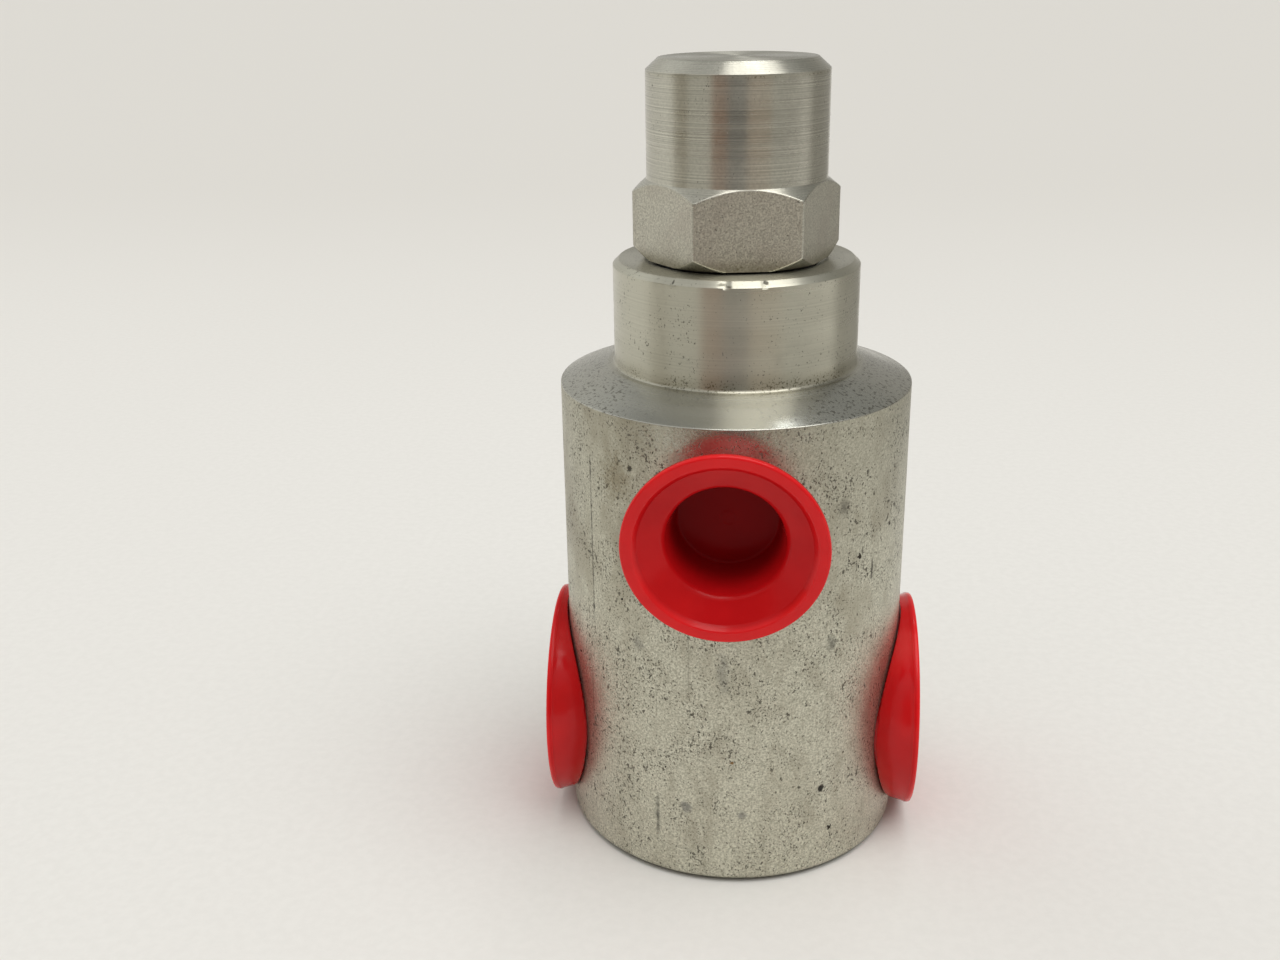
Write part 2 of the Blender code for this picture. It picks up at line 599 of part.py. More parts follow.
def cartridge_sleeve(materials):
    outline = [
        (SLEEVE_BORE_RADIUS, SLEEVE_SPIGOT_TOP_Z),
        (SLEEVE_SPIGOT_RADIUS, SLEEVE_SPIGOT_TOP_Z),
        (SLEEVE_SPIGOT_RADIUS, SLEEVE_FLANGE_TOP_Z),
        (SLEEVE_FLANGE_RADIUS, SLEEVE_FLANGE_TOP_Z),
        (SLEEVE_FLANGE_RADIUS, SLEEVE_FLANGE_FOOT_Z),
        (SLEEVE_WAIST_RADIUS, SLEEVE_FLANGE_FOOT_Z),
        (SLEEVE_WAIST_RADIUS, SLEEVE_WAIST_FOOT_Z),
        (SLEEVE_NOSE_RADIUS, SLEEVE_NOSE_TOP_Z),
        (SLEEVE_NOSE_RADIUS, SLEEVE_GROOVE_TOP_Z),
        (SLEEVE_GROOVE_RADIUS, SLEEVE_GROOVE_TOP_Z),
        (SLEEVE_GROOVE_RADIUS, SLEEVE_GROOVE_FOOT_Z),
        (SLEEVE_NOSE_RADIUS, SLEEVE_GROOVE_FOOT_Z),
        (SLEEVE_NOSE_RADIUS, SLEEVE_FOOT_Z + SLEEVE_NOSE_CHAMFER),
        (SLEEVE_NOSE_RADIUS - SLEEVE_NOSE_CHAMFER, SLEEVE_FOOT_Z),
        (SLEEVE_INLET_RADIUS, SLEEVE_FOOT_Z),
        (SLEEVE_INLET_RADIUS, SLEEVE_SEAT_Z),
        (SLEEVE_BORE_RADIUS, SLEEVE_SEAT_Z),
    ]
    sleeve = turned("cartridge_sleeve", outline, SMALL_SIDES, materials["plated_steel"], SLEEVE_FOOT_Z)
    reach = SLEEVE_FLANGE_RADIUS + OVERCUT
    for i in range(SLEEVE_HOLE_PAIRS):
        angle = math.pi * i / SLEEVE_HOLE_PAIRS + math.pi / 2
        outline = [(0.0, reach), (SLEEVE_HOLE_RADIUS, reach), (SLEEVE_HOLE_RADIUS, -reach), (0.0, -reach)]
        hole = turned_cutter(f"sleeve_hole_cutter_{i + 1}", outline, HOLE_SIDES)
        place(hole, (0.0, 0.0, SLEEVE_HOLE_Z), (math.cos(angle), math.sin(angle), 0.0))
        boolean(sleeve, "DIFFERENCE", hole)
    return sleeve


def seals(materials):
    groove_middle = (SLEEVE_GROOVE_FOOT_Z + SLEEVE_GROOVE_TOP_Z) / 2
    rubber = materials["black_rubber"]
    seal_ring("gland_o_ring", GLAND_SEAL_RADIUS, GLAND_SEAL_SECTION, GLAND_SEAL_Z, rubber)
    seal_ring("button_o_ring", BUTTON_SEAL_RADIUS, BUTTON_SEAL_SECTION, BUTTON_SEAL_Z, rubber)
    seal_ring("sleeve_o_ring", NOSE_SEAL_RADIUS, NOSE_SEAL_SECTION, groove_middle, rubber)
    for name, side in (("sleeve_backup_upper", 1), ("sleeve_backup_lower", -1)):
        middle = groove_middle + side * BACKUP_OFFSET
        low = middle - BACKUP_THICKNESS / 2
        high = middle + BACKUP_THICKNESS / 2
        flat_ring(name, BACKUP_INNER_RADIUS, BACKUP_OUTER_RADIUS, low, high, materials["white_plastic"])


def bowl_outline(size):
    """A solid bowl behind a lip. Its side draws in with depth to the power of the bowl's curve."""
    flange = size["flange_radius"]
    widest = flange - PLUG_LIP
    draw = widest - size["bowl_radius"]
    height = size["bowl_depth"] - PLUG_EDGE_DEPTH
    outline = [
        (0.0, 0.0),
        (flange - PLUG_EDGE_ROUND, 0.0),
        (flange, -PLUG_EDGE_ROUND),
        (flange, -PLUG_EDGE_DEPTH),
    ]
    for i in range(BOWL_STEPS + 1):
        share = i / BOWL_STEPS
        radius = widest - draw * share ** size["bowl_curve"]
        outline.append((radius, -PLUG_EDGE_DEPTH - height * share))
    outline.append((0.0, -size["bowl_depth"]))
    return outline


def barrel_outline(size):
    return [
        (0.0, -BARREL_ROOT_DEPTH),
        (size["neck_radius"], -BARREL_ROOT_DEPTH),
        (size["neck_radius"], -size["neck_depth"]),
        (size["barrel_radius"], -size["barrel_depth"]),
        (size["end_radius"], -PLUG_LENGTH + PLUG_FILLET),
        (size["end_radius"] - PLUG_FILLET, -PLUG_LENGTH),
        (0.0, -PLUG_LENGTH),
    ]


def cup_outline(size):
    return [
        (0.0, OVERCUT),
        (size["rim_radius"] + PLUG_EDGE_ROUND, OVERCUT),
        (size["rim_radius"] + PLUG_EDGE_ROUND, 0.0),
        (size["rim_radius"], -RIM_DEPTH),
        (size["mouth_radius"], -size["mouth_depth"]),
        (size["cup_radius"], -size["mouth_depth"] - PLUG_FILLET),
        (size["floor_radius"], -PLUG_FLOOR_DEPTH + PLUG_FILLET),
        (size["floor_radius"] - PLUG_FILLET, -PLUG_FLOOR_DEPTH),
        (0.0, -PLUG_FLOOR_DEPTH),
    ]


def port_plug(name, size, location, direction, saddle, material):
    """A push-in plug. Its bowl is cut to sit round the body, and its barrel enters the port."""
    plug = turned(name, bowl_outline(size), PLUG_SIDES, material)
    barrel = turned_cutter(f"{name}_barrel", barrel_outline(size), PLUG_SIDES)
    cup = turned_cutter(f"{name}_cup_cutter", cup_outline(size), PLUG_SIDES)
    for item in (plug, barrel, cup):
        place(item, location, direction)
    boolean(plug, "DIFFERENCE", saddle)
    boolean(plug, "UNION", barrel)
    boolean(plug, "DIFFERENCE", cup)


def port_plugs(materials):
    red = materials["red_plastic"]
    saddle_radius = BODY_RADIUS + GAP
    saddle_outline = [
        (0.0, BODY_SHOULDER_Z + OVERCUT),
        (saddle_radius, BODY_SHOULDER_Z + OVERCUT),
        (saddle_radius, -OVERCUT),
        (0.0, -OVERCUT),
    ]
    saddle = turned_cutter("saddle_cutter", saddle_outline, LARGE_SIDES)
    level = math.cos(FRONT_PLUG_TILT)
    front_direction = (
        -math.sin(FRONT_PLUG_YAW) * level,
        -math.cos(FRONT_PLUG_YAW) * level,
        -math.sin(FRONT_PLUG_TILT),
    )
    front_place = (FRONT_PLUG_OFFSET, -FRONT_PLUG_DISTANCE, TANK_PORT_Z)
    port_plug("front_port_plug", FRONT_PLUG, front_place, front_direction, saddle, red)
    left_place = (-LEFT_PLUG_DISTANCE, 0.0, GALLERY_Z)
    port_plug("left_port_plug", SIDE_PLUG, left_place, (-1.0, 0.0, 0.0), saddle, red)
    right_place = (RIGHT_PLUG_DISTANCE, 0.0, GALLERY_Z)
    port_plug("right_port_plug", SIDE_PLUG, right_place, (1.0, 0.0, 0.0), saddle, red)


def main():
    clear_scene()
    materials = make_materials()
    for build_piece in (
        line_body,
        cap,
        cap_seal,
        cartridge_gland,
        adjusting_screw,
        lock_washer,
        lock_nut,
        spring_button,
        setting_spring,
        spring_guide,
        poppet,
        valve_seat,
        cartridge_sleeve,
        seals,
        port_plugs,
    ):
        build_piece(materials)


main()
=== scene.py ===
"""Looks of the in-line relief valve: plated steel body and cap, and red push-in port plugs.

Lengths are in metres. Turned shapes are outlines of (radius, height, corner radius) points.
"""

import math

import bpy
import numpy as np
from mathutils import Matrix, Vector


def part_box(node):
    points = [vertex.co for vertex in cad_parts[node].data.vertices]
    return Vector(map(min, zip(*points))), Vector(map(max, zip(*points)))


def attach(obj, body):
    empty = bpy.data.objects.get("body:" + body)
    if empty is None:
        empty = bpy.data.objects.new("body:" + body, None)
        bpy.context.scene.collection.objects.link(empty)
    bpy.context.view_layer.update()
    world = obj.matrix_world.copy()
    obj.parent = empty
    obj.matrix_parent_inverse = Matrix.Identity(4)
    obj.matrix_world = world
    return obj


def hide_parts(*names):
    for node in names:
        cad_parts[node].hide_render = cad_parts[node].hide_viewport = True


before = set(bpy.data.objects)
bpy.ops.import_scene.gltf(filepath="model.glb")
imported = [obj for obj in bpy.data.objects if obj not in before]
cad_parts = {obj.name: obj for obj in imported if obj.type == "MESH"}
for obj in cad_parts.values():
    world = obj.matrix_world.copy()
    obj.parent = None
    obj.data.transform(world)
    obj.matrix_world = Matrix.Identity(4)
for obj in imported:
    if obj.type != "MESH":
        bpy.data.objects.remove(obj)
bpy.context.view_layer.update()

MM = 0.001
TURN = 2 * math.pi

# ---------------------------------------------------------------- sizes read from the frame
BODY_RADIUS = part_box("line_body")[1].x
NECK_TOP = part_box("line_body")[1].z
CAP_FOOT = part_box("cap")[0].z
CAP_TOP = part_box("cap")[1].z
GALLERY_Z = (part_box("left_port_plug")[0].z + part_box("left_port_plug")[1].z) / 2

# Threads: 16 threads an inch on the cap, 24 on the adjusting screw, 14 in the ports
CAP_PITCH = 1.5875 * MM
SCREW_PITCH = 1.0583 * MM
PORT_PITCH = 1.814 * MM


# ---------------------------------------------------------------- camera
CAMERA_PLACE = Vector((4.36, -191.94, 126.0)) * MM
CAMERA_PITCH = math.radians(20.657)
CAMERA_PAN = math.radians(5.52)
CAMERA_ROLL = math.radians(-0.938)
CAMERA_LENS = 38.296125
SENSOR_WIDTH = 36.0


def make_camera():
    """A camera a little above the valve's top, that looks down at it from in front."""
    data = bpy.data.cameras.new("camera")
    data.sensor_width = SENSOR_WIDTH
    data.lens = CAMERA_LENS
    data.clip_start = 0.005
    data.clip_end = 50.0
    camera = bpy.data.objects.new("camera", data)
    bpy.context.scene.collection.objects.link(camera)
    ahead = Vector(
        (
            -math.sin(CAMERA_PAN) * math.cos(CAMERA_PITCH),
            math.cos(CAMERA_PAN) * math.cos(CAMERA_PITCH),
            -math.sin(CAMERA_PITCH),
        )
    )
    level = Vector((math.cos(CAMERA_PAN), math.sin(CAMERA_PAN), 0.0))
    raised = level.cross(ahead)
    right = level * math.cos(CAMERA_ROLL) + raised * math.sin(CAMERA_ROLL)
    up = raised * math.cos(CAMERA_ROLL) - level * math.sin(CAMERA_ROLL)
    turn = Matrix((right, up, -ahead)).transposed().to_4x4()
    camera.matrix_world = Matrix.Translation(CAMERA_PLACE) @ turn
    bpy.context.scene.camera = camera


# ---------------------------------------------------------------- mesh tools
def new_piece(name, points, faces, material, sharp=35.0):
    """A mesh object, shaded smooth except along edges sharper than so many degrees."""
    mesh = bpy.data.meshes.new(name)
    mesh.from_pydata([tuple(p) for p in points], [], faces)
    mesh.validate()
    mesh.materials.append(material)
    mesh.shade_smooth()
    mesh.set_sharp_from_angle(angle=math.radians(sharp))
    piece = bpy.data.objects.new(name, mesh)
    bpy.context.scene.collection.objects.link(piece)
    return piece


def ring_faces(rows, sides, loop):
    """Quads between rings of points, each ring closed on itself."""
    faces = []
    for i in range(rows if loop else rows - 1):
        here = i * sides
        there = (i + 1) % rows * sides
        for k in range(sides):
            after = (k + 1) % sides
            faces.append((here + k, there + k, there + after, here + after))
    return faces


def surface_piece(name, radii, heights, sides, material, loop=False, sharp=35.0):
    """A closed surface from rings. radii and heights are arrays of (rows, sides) or (rows, 1).

    The rings run from the top down the outside. Where the ends aren't joined in a loop, each end is
    closed with a fan at its own mean height.
    """
    rows = len(radii)
    angles = np.arange(sides) * TURN / sides
    radii = np.broadcast_to(radii, (rows, sides))
    heights = np.broadcast_to(heights, (rows, sides))
    points = np.stack([radii * np.cos(angles), radii * np.sin(angles), heights], axis=-1).reshape(-1, 3)
    faces = ring_faces(rows, sides, loop)
    if not loop:
        top = len(points)
        points = np.vstack([points, [0, 0, heights[0].mean()], [0, 0, heights[-1].mean()]])
        last = (rows - 1) * sides
        for k in range(sides):
            after = (k + 1) % sides
            faces.append((k, after, top))
            faces.append((last + after, last + k, top + 1))
    return new_piece(name, points, faces, material, sharp)


def rounded(outline, steps=4):
    """An outline's points with each corner of a stated radius replaced by an arc."""
    points = []
    for i, corner in enumerate(outline):
        here = np.array(corner[:2])
        radius = corner[2] if len(corner) > 2 else 0.0
        if not radius:
            points.append(here)
            continue
        before = np.array(outline[i - 1][:2]) - here
        after = np.array(outline[(i + 1) % len(outline)][:2]) - here
        before_side = before / np.linalg.norm(before)
        after_side = after / np.linalg.norm(after)
        half = math.acos(np.clip(before_side @ after_side, -1, 1)) / 2
        reach = min(radius / math.tan(half), 0.49 * np.linalg.norm(before), 0.49 * np.linalg.norm(after))
        radius = reach * math.tan(half)
        middle = before_side + after_side
        centre = here + middle / np.linalg.norm(middle) * radius / math.sin(half)
        first = here + before_side * reach - centre
        last = here + after_side * reach - centre
        start = math.atan2(first[1], first[0])
        sweep = (math.atan2(last[1], last[0]) - start + math.pi) % TURN - math.pi
        for k in range(steps + 1):
            angle = start + sweep * k / steps
            points.append(centre + radius * np.array([math.cos(angle), math.sin(angle)]))
    return np.array(points)


def turned_piece(name, outline, sides, material, loop=False, sharp=35.0):
    """A lathe-turned piece. An outline that starts or ends on the axis is closed with a fan there."""
    points = rounded(outline)
    if not loop:
        points = points[1:-1] if points[0][0] == 0 else points
    return surface_piece(name, points[:, :1], points[:, 1:], sides, material, loop, sharp)


def cut(piece, tool):
    """Cuts tool out of piece, keeps the result as plain mesh and removes the tool."""
    step = piece.modifiers.new("cut", "BOOLEAN")
    step.operation = "DIFFERENCE"
    step.solver = "EXACT"
    step.object = tool
    graph = bpy.context.evaluated_depsgraph_get()
    result = bpy.data.meshes.new_from_object(piece.evaluated_get(graph))
    piece.modifiers.clear()
    piece.data = result
    bpy.data.objects.remove(tool, do_unlink=True)


def turn_to(piece, place, direction):
    """Moves a piece's own mesh so that its Z axis points in a direction from a place."""
    turn = Vector((0.0, 0.0, 1.0)).rotation_difference(Vector(direction)).to_matrix().to_4x4()
    piece.data.transform(Matrix.Translation(place) @ turn)


def smooth_min(a, b, width):
    """The lesser of two, with the step between them rounded over width."""
    share = np.clip(0.5 + 0.5 * (b - a) / width, 0.0, 1.0)
    return b * (1 - share) + a * share - width * share * (1 - share)


def hexagon(angles, corner_radius, yaw, edge):
    """Radius of a hexagon at each angle, its corners rounded over edge."""
    flat = corner_radius * math.cos(math.pi / 6)
    far = 10 * corner_radius
    grazing = 0.3
    radius = np.full_like(angles, far)
    for k in range(6):
        facing = np.cos(angles - yaw - math.pi / 6 - k * math.pi / 3)
        side = np.where(facing > grazing, flat / np.maximum(facing, grazing), far)
        radius = smooth_min(radius, side, edge)
    return radius


def thread(heights, angles, pitch, depth):
    """How far a right-hand thread stands out of its root, over a grid of heights and angles."""
    phase = (heights / pitch - angles / TURN) % 1.0
    ramp = np.abs(phase - 0.5) * 2
    flat_share = 0.22
    return depth * np.clip((ramp - flat_share) / (1.0 - 2 * flat_share), 0.0, 1.0)


# ---------------------------------------------------------------- material tools
class Nodes:
    """A node tree, built up with short calls that each return an output socket."""

    def __init__(self, tree):
        self.tree = tree

    def join(self, value, socket):
        """Links a socket to another, or sets it to a value."""
        if isinstance(value, bpy.types.NodeSocket):
            self.tree.links.new(value, socket)
        elif socket.type == "RGBA":
            socket.default_value = (*value[:3], 1.0)
        else:
            socket.default_value = value

    def math(self, operation, a, b=0.0):
        node = self.tree.nodes.new("ShaderNodeMath")
        node.operation = operation
        self.join(a, node.inputs[0])
        self.join(b, node.inputs[1])
        return node.outputs[0]

    def times(self, *values):
        result = values[0]
        for value in values[1:]:
            result = self.math("MULTIPLY", result, value)
        return result

    def plus(self, a, b):
        return self.math("ADD", a, b)

    def minus(self, a, b):
        return self.math("SUBTRACT", a, b)

    def vector(self, operation, a, b):
        node = self.tree.nodes.new("ShaderNodeVectorMath")
        node.operation = operation
        self.join(a, node.inputs[0])
        self.join(b, node.inputs[1])
        return node.outputs[0]

    def combine(self, x, y, z=0.0):
        node = self.tree.nodes.new("ShaderNodeCombineXYZ")
        for value, socket in zip((x, y, z), node.inputs):
            self.join(value, socket)
        return node.outputs[0]

    def split(self, value):
        node = self.tree.nodes.new("ShaderNodeSeparateXYZ")
        self.join(value, node.inputs[0])
        return node.outputs

    def step(self, value, low, high, to_low=0.0, to_high=1.0):
        """A smooth step from to_low to to_high, as value goes from low to high."""
        node = self.tree.nodes.new("ShaderNodeMapRange")
        node.interpolation_type = "SMOOTHSTEP"
        names = ("Value", "From Min", "From Max", "To Min", "To Max")
        for name, number in zip(names, (value, low, high, to_low, to_high)):
            self.join(number, node.inputs[name])
        return node.outputs[0]

    def mix(self, share, a, b):
        """Colour a where share is 0, and b where it is 1."""
        node = self.tree.nodes.new("ShaderNodeMix")
        node.data_type = "RGBA"
        self.join(share, node.inputs[0])
        self.join(a, node.inputs[6])
        self.join(b, node.inputs[7])
        return node.outputs[2]

    def mix_value(self, share, a, b):
        return self.plus(a, self.times(share, b - a))

    def ramp(self, value, stops):
        """Colours along a value from 0 to 1: each stop has a position and a colour."""
        node = self.tree.nodes.new("ShaderNodeValToRGB")
        self.join(value, node.inputs[0])
        held = node.color_ramp.elements
        for i, (position, colour) in enumerate(stops):
            stop = held[i] if i < 2 else held.new(position)
            stop.position = position
            stop.color = (*colour, 1.0)
        return node.outputs[0]


class Surface(Nodes):
    """A material's tree, with coordinates in millimetres and the usual patterns."""

    def __init__(self, name):
        self.material = bpy.data.materials.new(name)
        self.material.use_nodes = True
        super().__init__(self.material.node_tree)
        self.shader = self.tree.nodes["Principled BSDF"]
        coordinates = self.tree.nodes.new("ShaderNodeTexCoord").outputs["Object"]
        self.mm = self.vector("MULTIPLY", coordinates, (1000.0, 1000.0, 1000.0))
        self.x, self.y, self.z = self.split(self.mm)
        self.radius = self.math("SQRT", self.plus(self.times(self.x, self.x), self.times(self.y, self.y)))
        self.angle = self.math("ARCTAN2", self.x, self.times(self.y, -1.0))

    def set(self, name, value):
        self.join(value, self.shader.inputs[name])

    def round_the_axis(self, slowness):
        """Coordinates that change slowly round the axis, and run down a turned outline."""
        x = self.math("DIVIDE", self.x, self.math("MAXIMUM", self.radius, 0.5))
        y = self.math("DIVIDE", self.y, self.math("MAXIMUM", self.radius, 0.5))
        along = self.minus(self.z, self.radius)
        return self.combine(self.times(x, slowness), self.times(y, slowness), along)

    def stretched(self, up):
        """Coordinates in which patterns come out longer up and down."""
        return self.vector("MULTIPLY", self.mm, (1.0, 1.0, 1.0 / up))

    def attribute(self, name):
        node = self.tree.nodes.new("ShaderNodeAttribute")
        node.attribute_name = name
        return node.outputs["Fac"]

    def noise(self, vector, scale, detail=2.0, roughness=0.5):
        node = self.tree.nodes.new("ShaderNodeTexNoise")
        self.join(vector, node.inputs["Vector"])
        node.inputs["Scale"].default_value = scale
        node.inputs["Detail"].default_value = detail
        node.inputs["Roughness"].default_value = roughness
        return node.outputs["Fac"]

    def level_lines(self, scale, detail=3.0):
        """Fine lines that run level round the axis and come and go along their way, 0 to 1."""
        node = self.tree.nodes.new("ShaderNodeTexNoise")
        node.noise_dimensions = "1D"
        self.join(self.minus(self.z, self.radius), node.inputs["W"])
        node.inputs["Scale"].default_value = scale
        node.inputs["Detail"].default_value = detail
        node.inputs["Roughness"].default_value = 0.6
        presence = self.step(self.noise(self.round_the_axis(1.3), 0.9, 2.0), 0.35, 0.65, 0.3, 1.6)
        return self.plus(0.5, self.times(self.minus(node.outputs["Fac"], 0.5), presence))

    def flecks(self, vector, scale, threshold, crowding=0.0, edge=0.03):
        """Ragged flecks, 1 inside and 0 outside: fewer for a higher threshold, and more where crowded."""
        level = self.minus(threshold, crowding)
        return self.step(self.minus(self.noise(vector, scale, 2.0, 0.55), level), 0.0, edge)

    def bump(self, height, distance, strength=1.0):
        node = self.tree.nodes.new("ShaderNodeBump")
        node.inputs["Strength"].default_value = strength
        node.inputs["Distance"].default_value = distance
        self.join(height, node.inputs["Height"])
        return node.outputs[0]

    def mark(self, around, height, wide, tall, blur):
        """A spot on a round side, at an angle from the front in degrees and a height in millimetres."""
        across = self.times(self.minus(self.angle, math.radians(around)), self.radius)
        u = self.times(across, 1.0 / wide)
        v = self.times(self.minus(self.z, height), 1.0 / tall)
        ragged = self.times(self.minus(self.noise(self.mm, 1.4, 3.0), 0.5), 1.2)
        distance = self.plus(self.math("SQRT", self.plus(self.times(u, u), self.times(v, v))), ragged)
        return self.step(distance, 1.0, 1.0 - blur)


DIRT = (0.055, 0.05, 0.04)
# Dark yellow-brown used both for dirt and for painted shade at the neck's top and round the cap's foot
GRIME_AND_SHADE = (0.27, 0.24, 0.165)
# Marks: degrees from the front, then height, half width and half height in millimetres, blur,
# colour and strength
BODY_MARKS = (
    (32.0, 14.2, 0.75, 0.8, 0.5, (0.02, 0.018, 0.015), 0.95),
    (-13.5, 12.3, 1.2, 1.2, 0.6, (0.17, 0.17, 0.165), 0.65),
    (5.0, 11.6, 0.9, 0.9, 0.7, (0.17, 0.17, 0.165), 0.6),
    (1.5, 20.3, 0.36, 0.30, 0.5, (0.20, 0.10, 0.02), 0.9),
    (51.0, 46.5, 0.35, 2.3, 0.6, DIRT, 0.75),
    (-50.3, 49.0, 0.22, 17.0, 0.8, DIRT, 0.75),
    (-50.3, 40.0, 0.45, 1.0, 0.8, DIRT, 0.7),
    (-50.3, 61.0, 0.35, 1.8, 0.8, DIRT, 0.7),
    (-52.5, 24.0, 0.25, 9.0, 0.9, DIRT, 0.4),
    (-23.5, 9.5, 0.45, 5.5, 1.0, (0.08, 0.08, 0.07), 0.8),
    (-1.5, 34.5, 1.3, 5.0, 1.0, (0.22, 0.215, 0.19), 0.5),
    (34.0, 37.5, 1.0, 2.2, 1.0, (0.10, 0.10, 0.085), 0.75),
    (-30.0, 37.0, 1.3, 1.8, 1.0, (0.20, 0.195, 0.17), 0.6),
    (37.0, 57.5, 1.6, 1.8, 1.0, (0.12, 0.11, 0.09), 0.65),
    (-38.0, 61.0, 4.2, 5.0, 1.0, (0.25, 0.21, 0.13), 0.6),
    (-32.0, 63.0, 0.5, 0.6, 0.6, DIRT, 0.9),
)
NECK_MARKS = (
    (-27.5, NECK_TOP / MM - 0.5, 0.20, 0.36, 0.6, DIRT, 0.75),
    (-5.0, NECK_TOP / MM - 0.45, 0.8, 0.26, 0.8, (0.15, 0.14, 0.11), 0.9),
    (-1.5, NECK_TOP / MM - 0.65, 0.7, 0.22, 0.8, (0.15, 0.14, 0.11), 0.9),
    (14.6, NECK_TOP / MM - 0.30, 0.46, 0.27, 0.5, DIRT, 0.9),
)


def weathered(n, threshold):
    """Dark pits in three sizes, crowded in places."""
    crowd = n.times(n.step(n.noise(n.mm, 0.16, 3.0, 0.6), 0.40, 0.62), 0.07)
    fine = n.flecks(n.stretched(1.2), 3.6, threshold - 0.012, crowd)
    middling = n.flecks(n.stretched(1.4), 1.5, threshold + 0.03, crowd)
    coarse = n.flecks(n.stretched(1.2), 0.7, threshold + 0.11, crowd, 0.02)
    return n.math("MAXIMUM", n.math("MAXIMUM", n.times(fine, 0.66), n.times(middling, 0.74)), coarse)


def bar_material():
    """Plated drawn bar: gritty and matt, with dark pits, drawing lines, faint stains, a few marks, and
    painted shade along the bottom edge.
    """
    n = Surface("drawn_bar")
    grit = n.noise(n.mm, 3.4, 3.0, 0.65)
    mottle = n.noise(n.stretched(2.0), 0.34, 4.0, 0.7)
    colour = n.mix(n.step(grit, 0.32, 0.68), (0.39, 0.38, 0.305), (0.72, 0.705, 0.59))
    colour = n.mix(n.step(mottle, 0.46, 0.72, 0.0, 0.5), colour, (0.36, 0.335, 0.26))
    stain = n.step(n.noise(n.stretched(1.6), 0.085, 3.0, 0.65), 0.48, 0.66)
    stain = n.times(stain, n.step(n.z, 22.0, 60.0, 0.15, 0.8), n.step(grit, 0.35, 0.65, 0.5, 1.0))
    colour = n.mix(stain, colour, (0.29, 0.25, 0.175))
    # Darker towards the top
    colour = n.mix(n.step(n.z, 38.0, 66.0, 0.0, 0.35), colour, (0.36, 0.34, 0.27))
    around = n.vector("MULTIPLY", n.round_the_axis(25.4), (1.0, 1.0, 0.03))
    lines = n.noise(around, 1.3, 4.0, 0.8)
    colour = n.mix(n.step(lines, 0.60, 0.76, 0.0, 0.45), colour, (0.17, 0.165, 0.135))
    pits = weathered(n, 0.665)
    colour = n.mix(pits, colour, DIRT)
    for place, height, wide, tall, blur, tint, strength in BODY_MARKS:
        colour = n.mix(n.times(n.mark(place, height, wide, tall, blur), strength), colour, tint)
    # Painted shade: darker along the bottom edge, where the bar stands on the floor
    colour = n.mix(n.step(n.z, 1.4, 0.3, 0.0, 0.7), colour, (0.10, 0.095, 0.06))
    clean = n.mark(-3.0, 68.5, 15.0, 4.5, 0.8)
    colour = n.mix(n.times(clean, 0.5), colour, (0.46, 0.455, 0.40))
    n.set("Base Color", colour)
    n.set("Metallic", 0.9)
    rough = n.plus(n.step(grit, 0.2, 0.8, 0.33, 0.43), n.times(pits, 0.25))
    n.set("Roughness", n.minus(rough, n.times(clean, 0.15)))
    rugged = n.step(clean, 0.0, 1.0, 1.0, 0.35)
    n.set("Normal", n.bump(n.times(n.minus(grit, n.times(pits, 0.7)), rugged), 0.00010, 0.6))
    return n.material


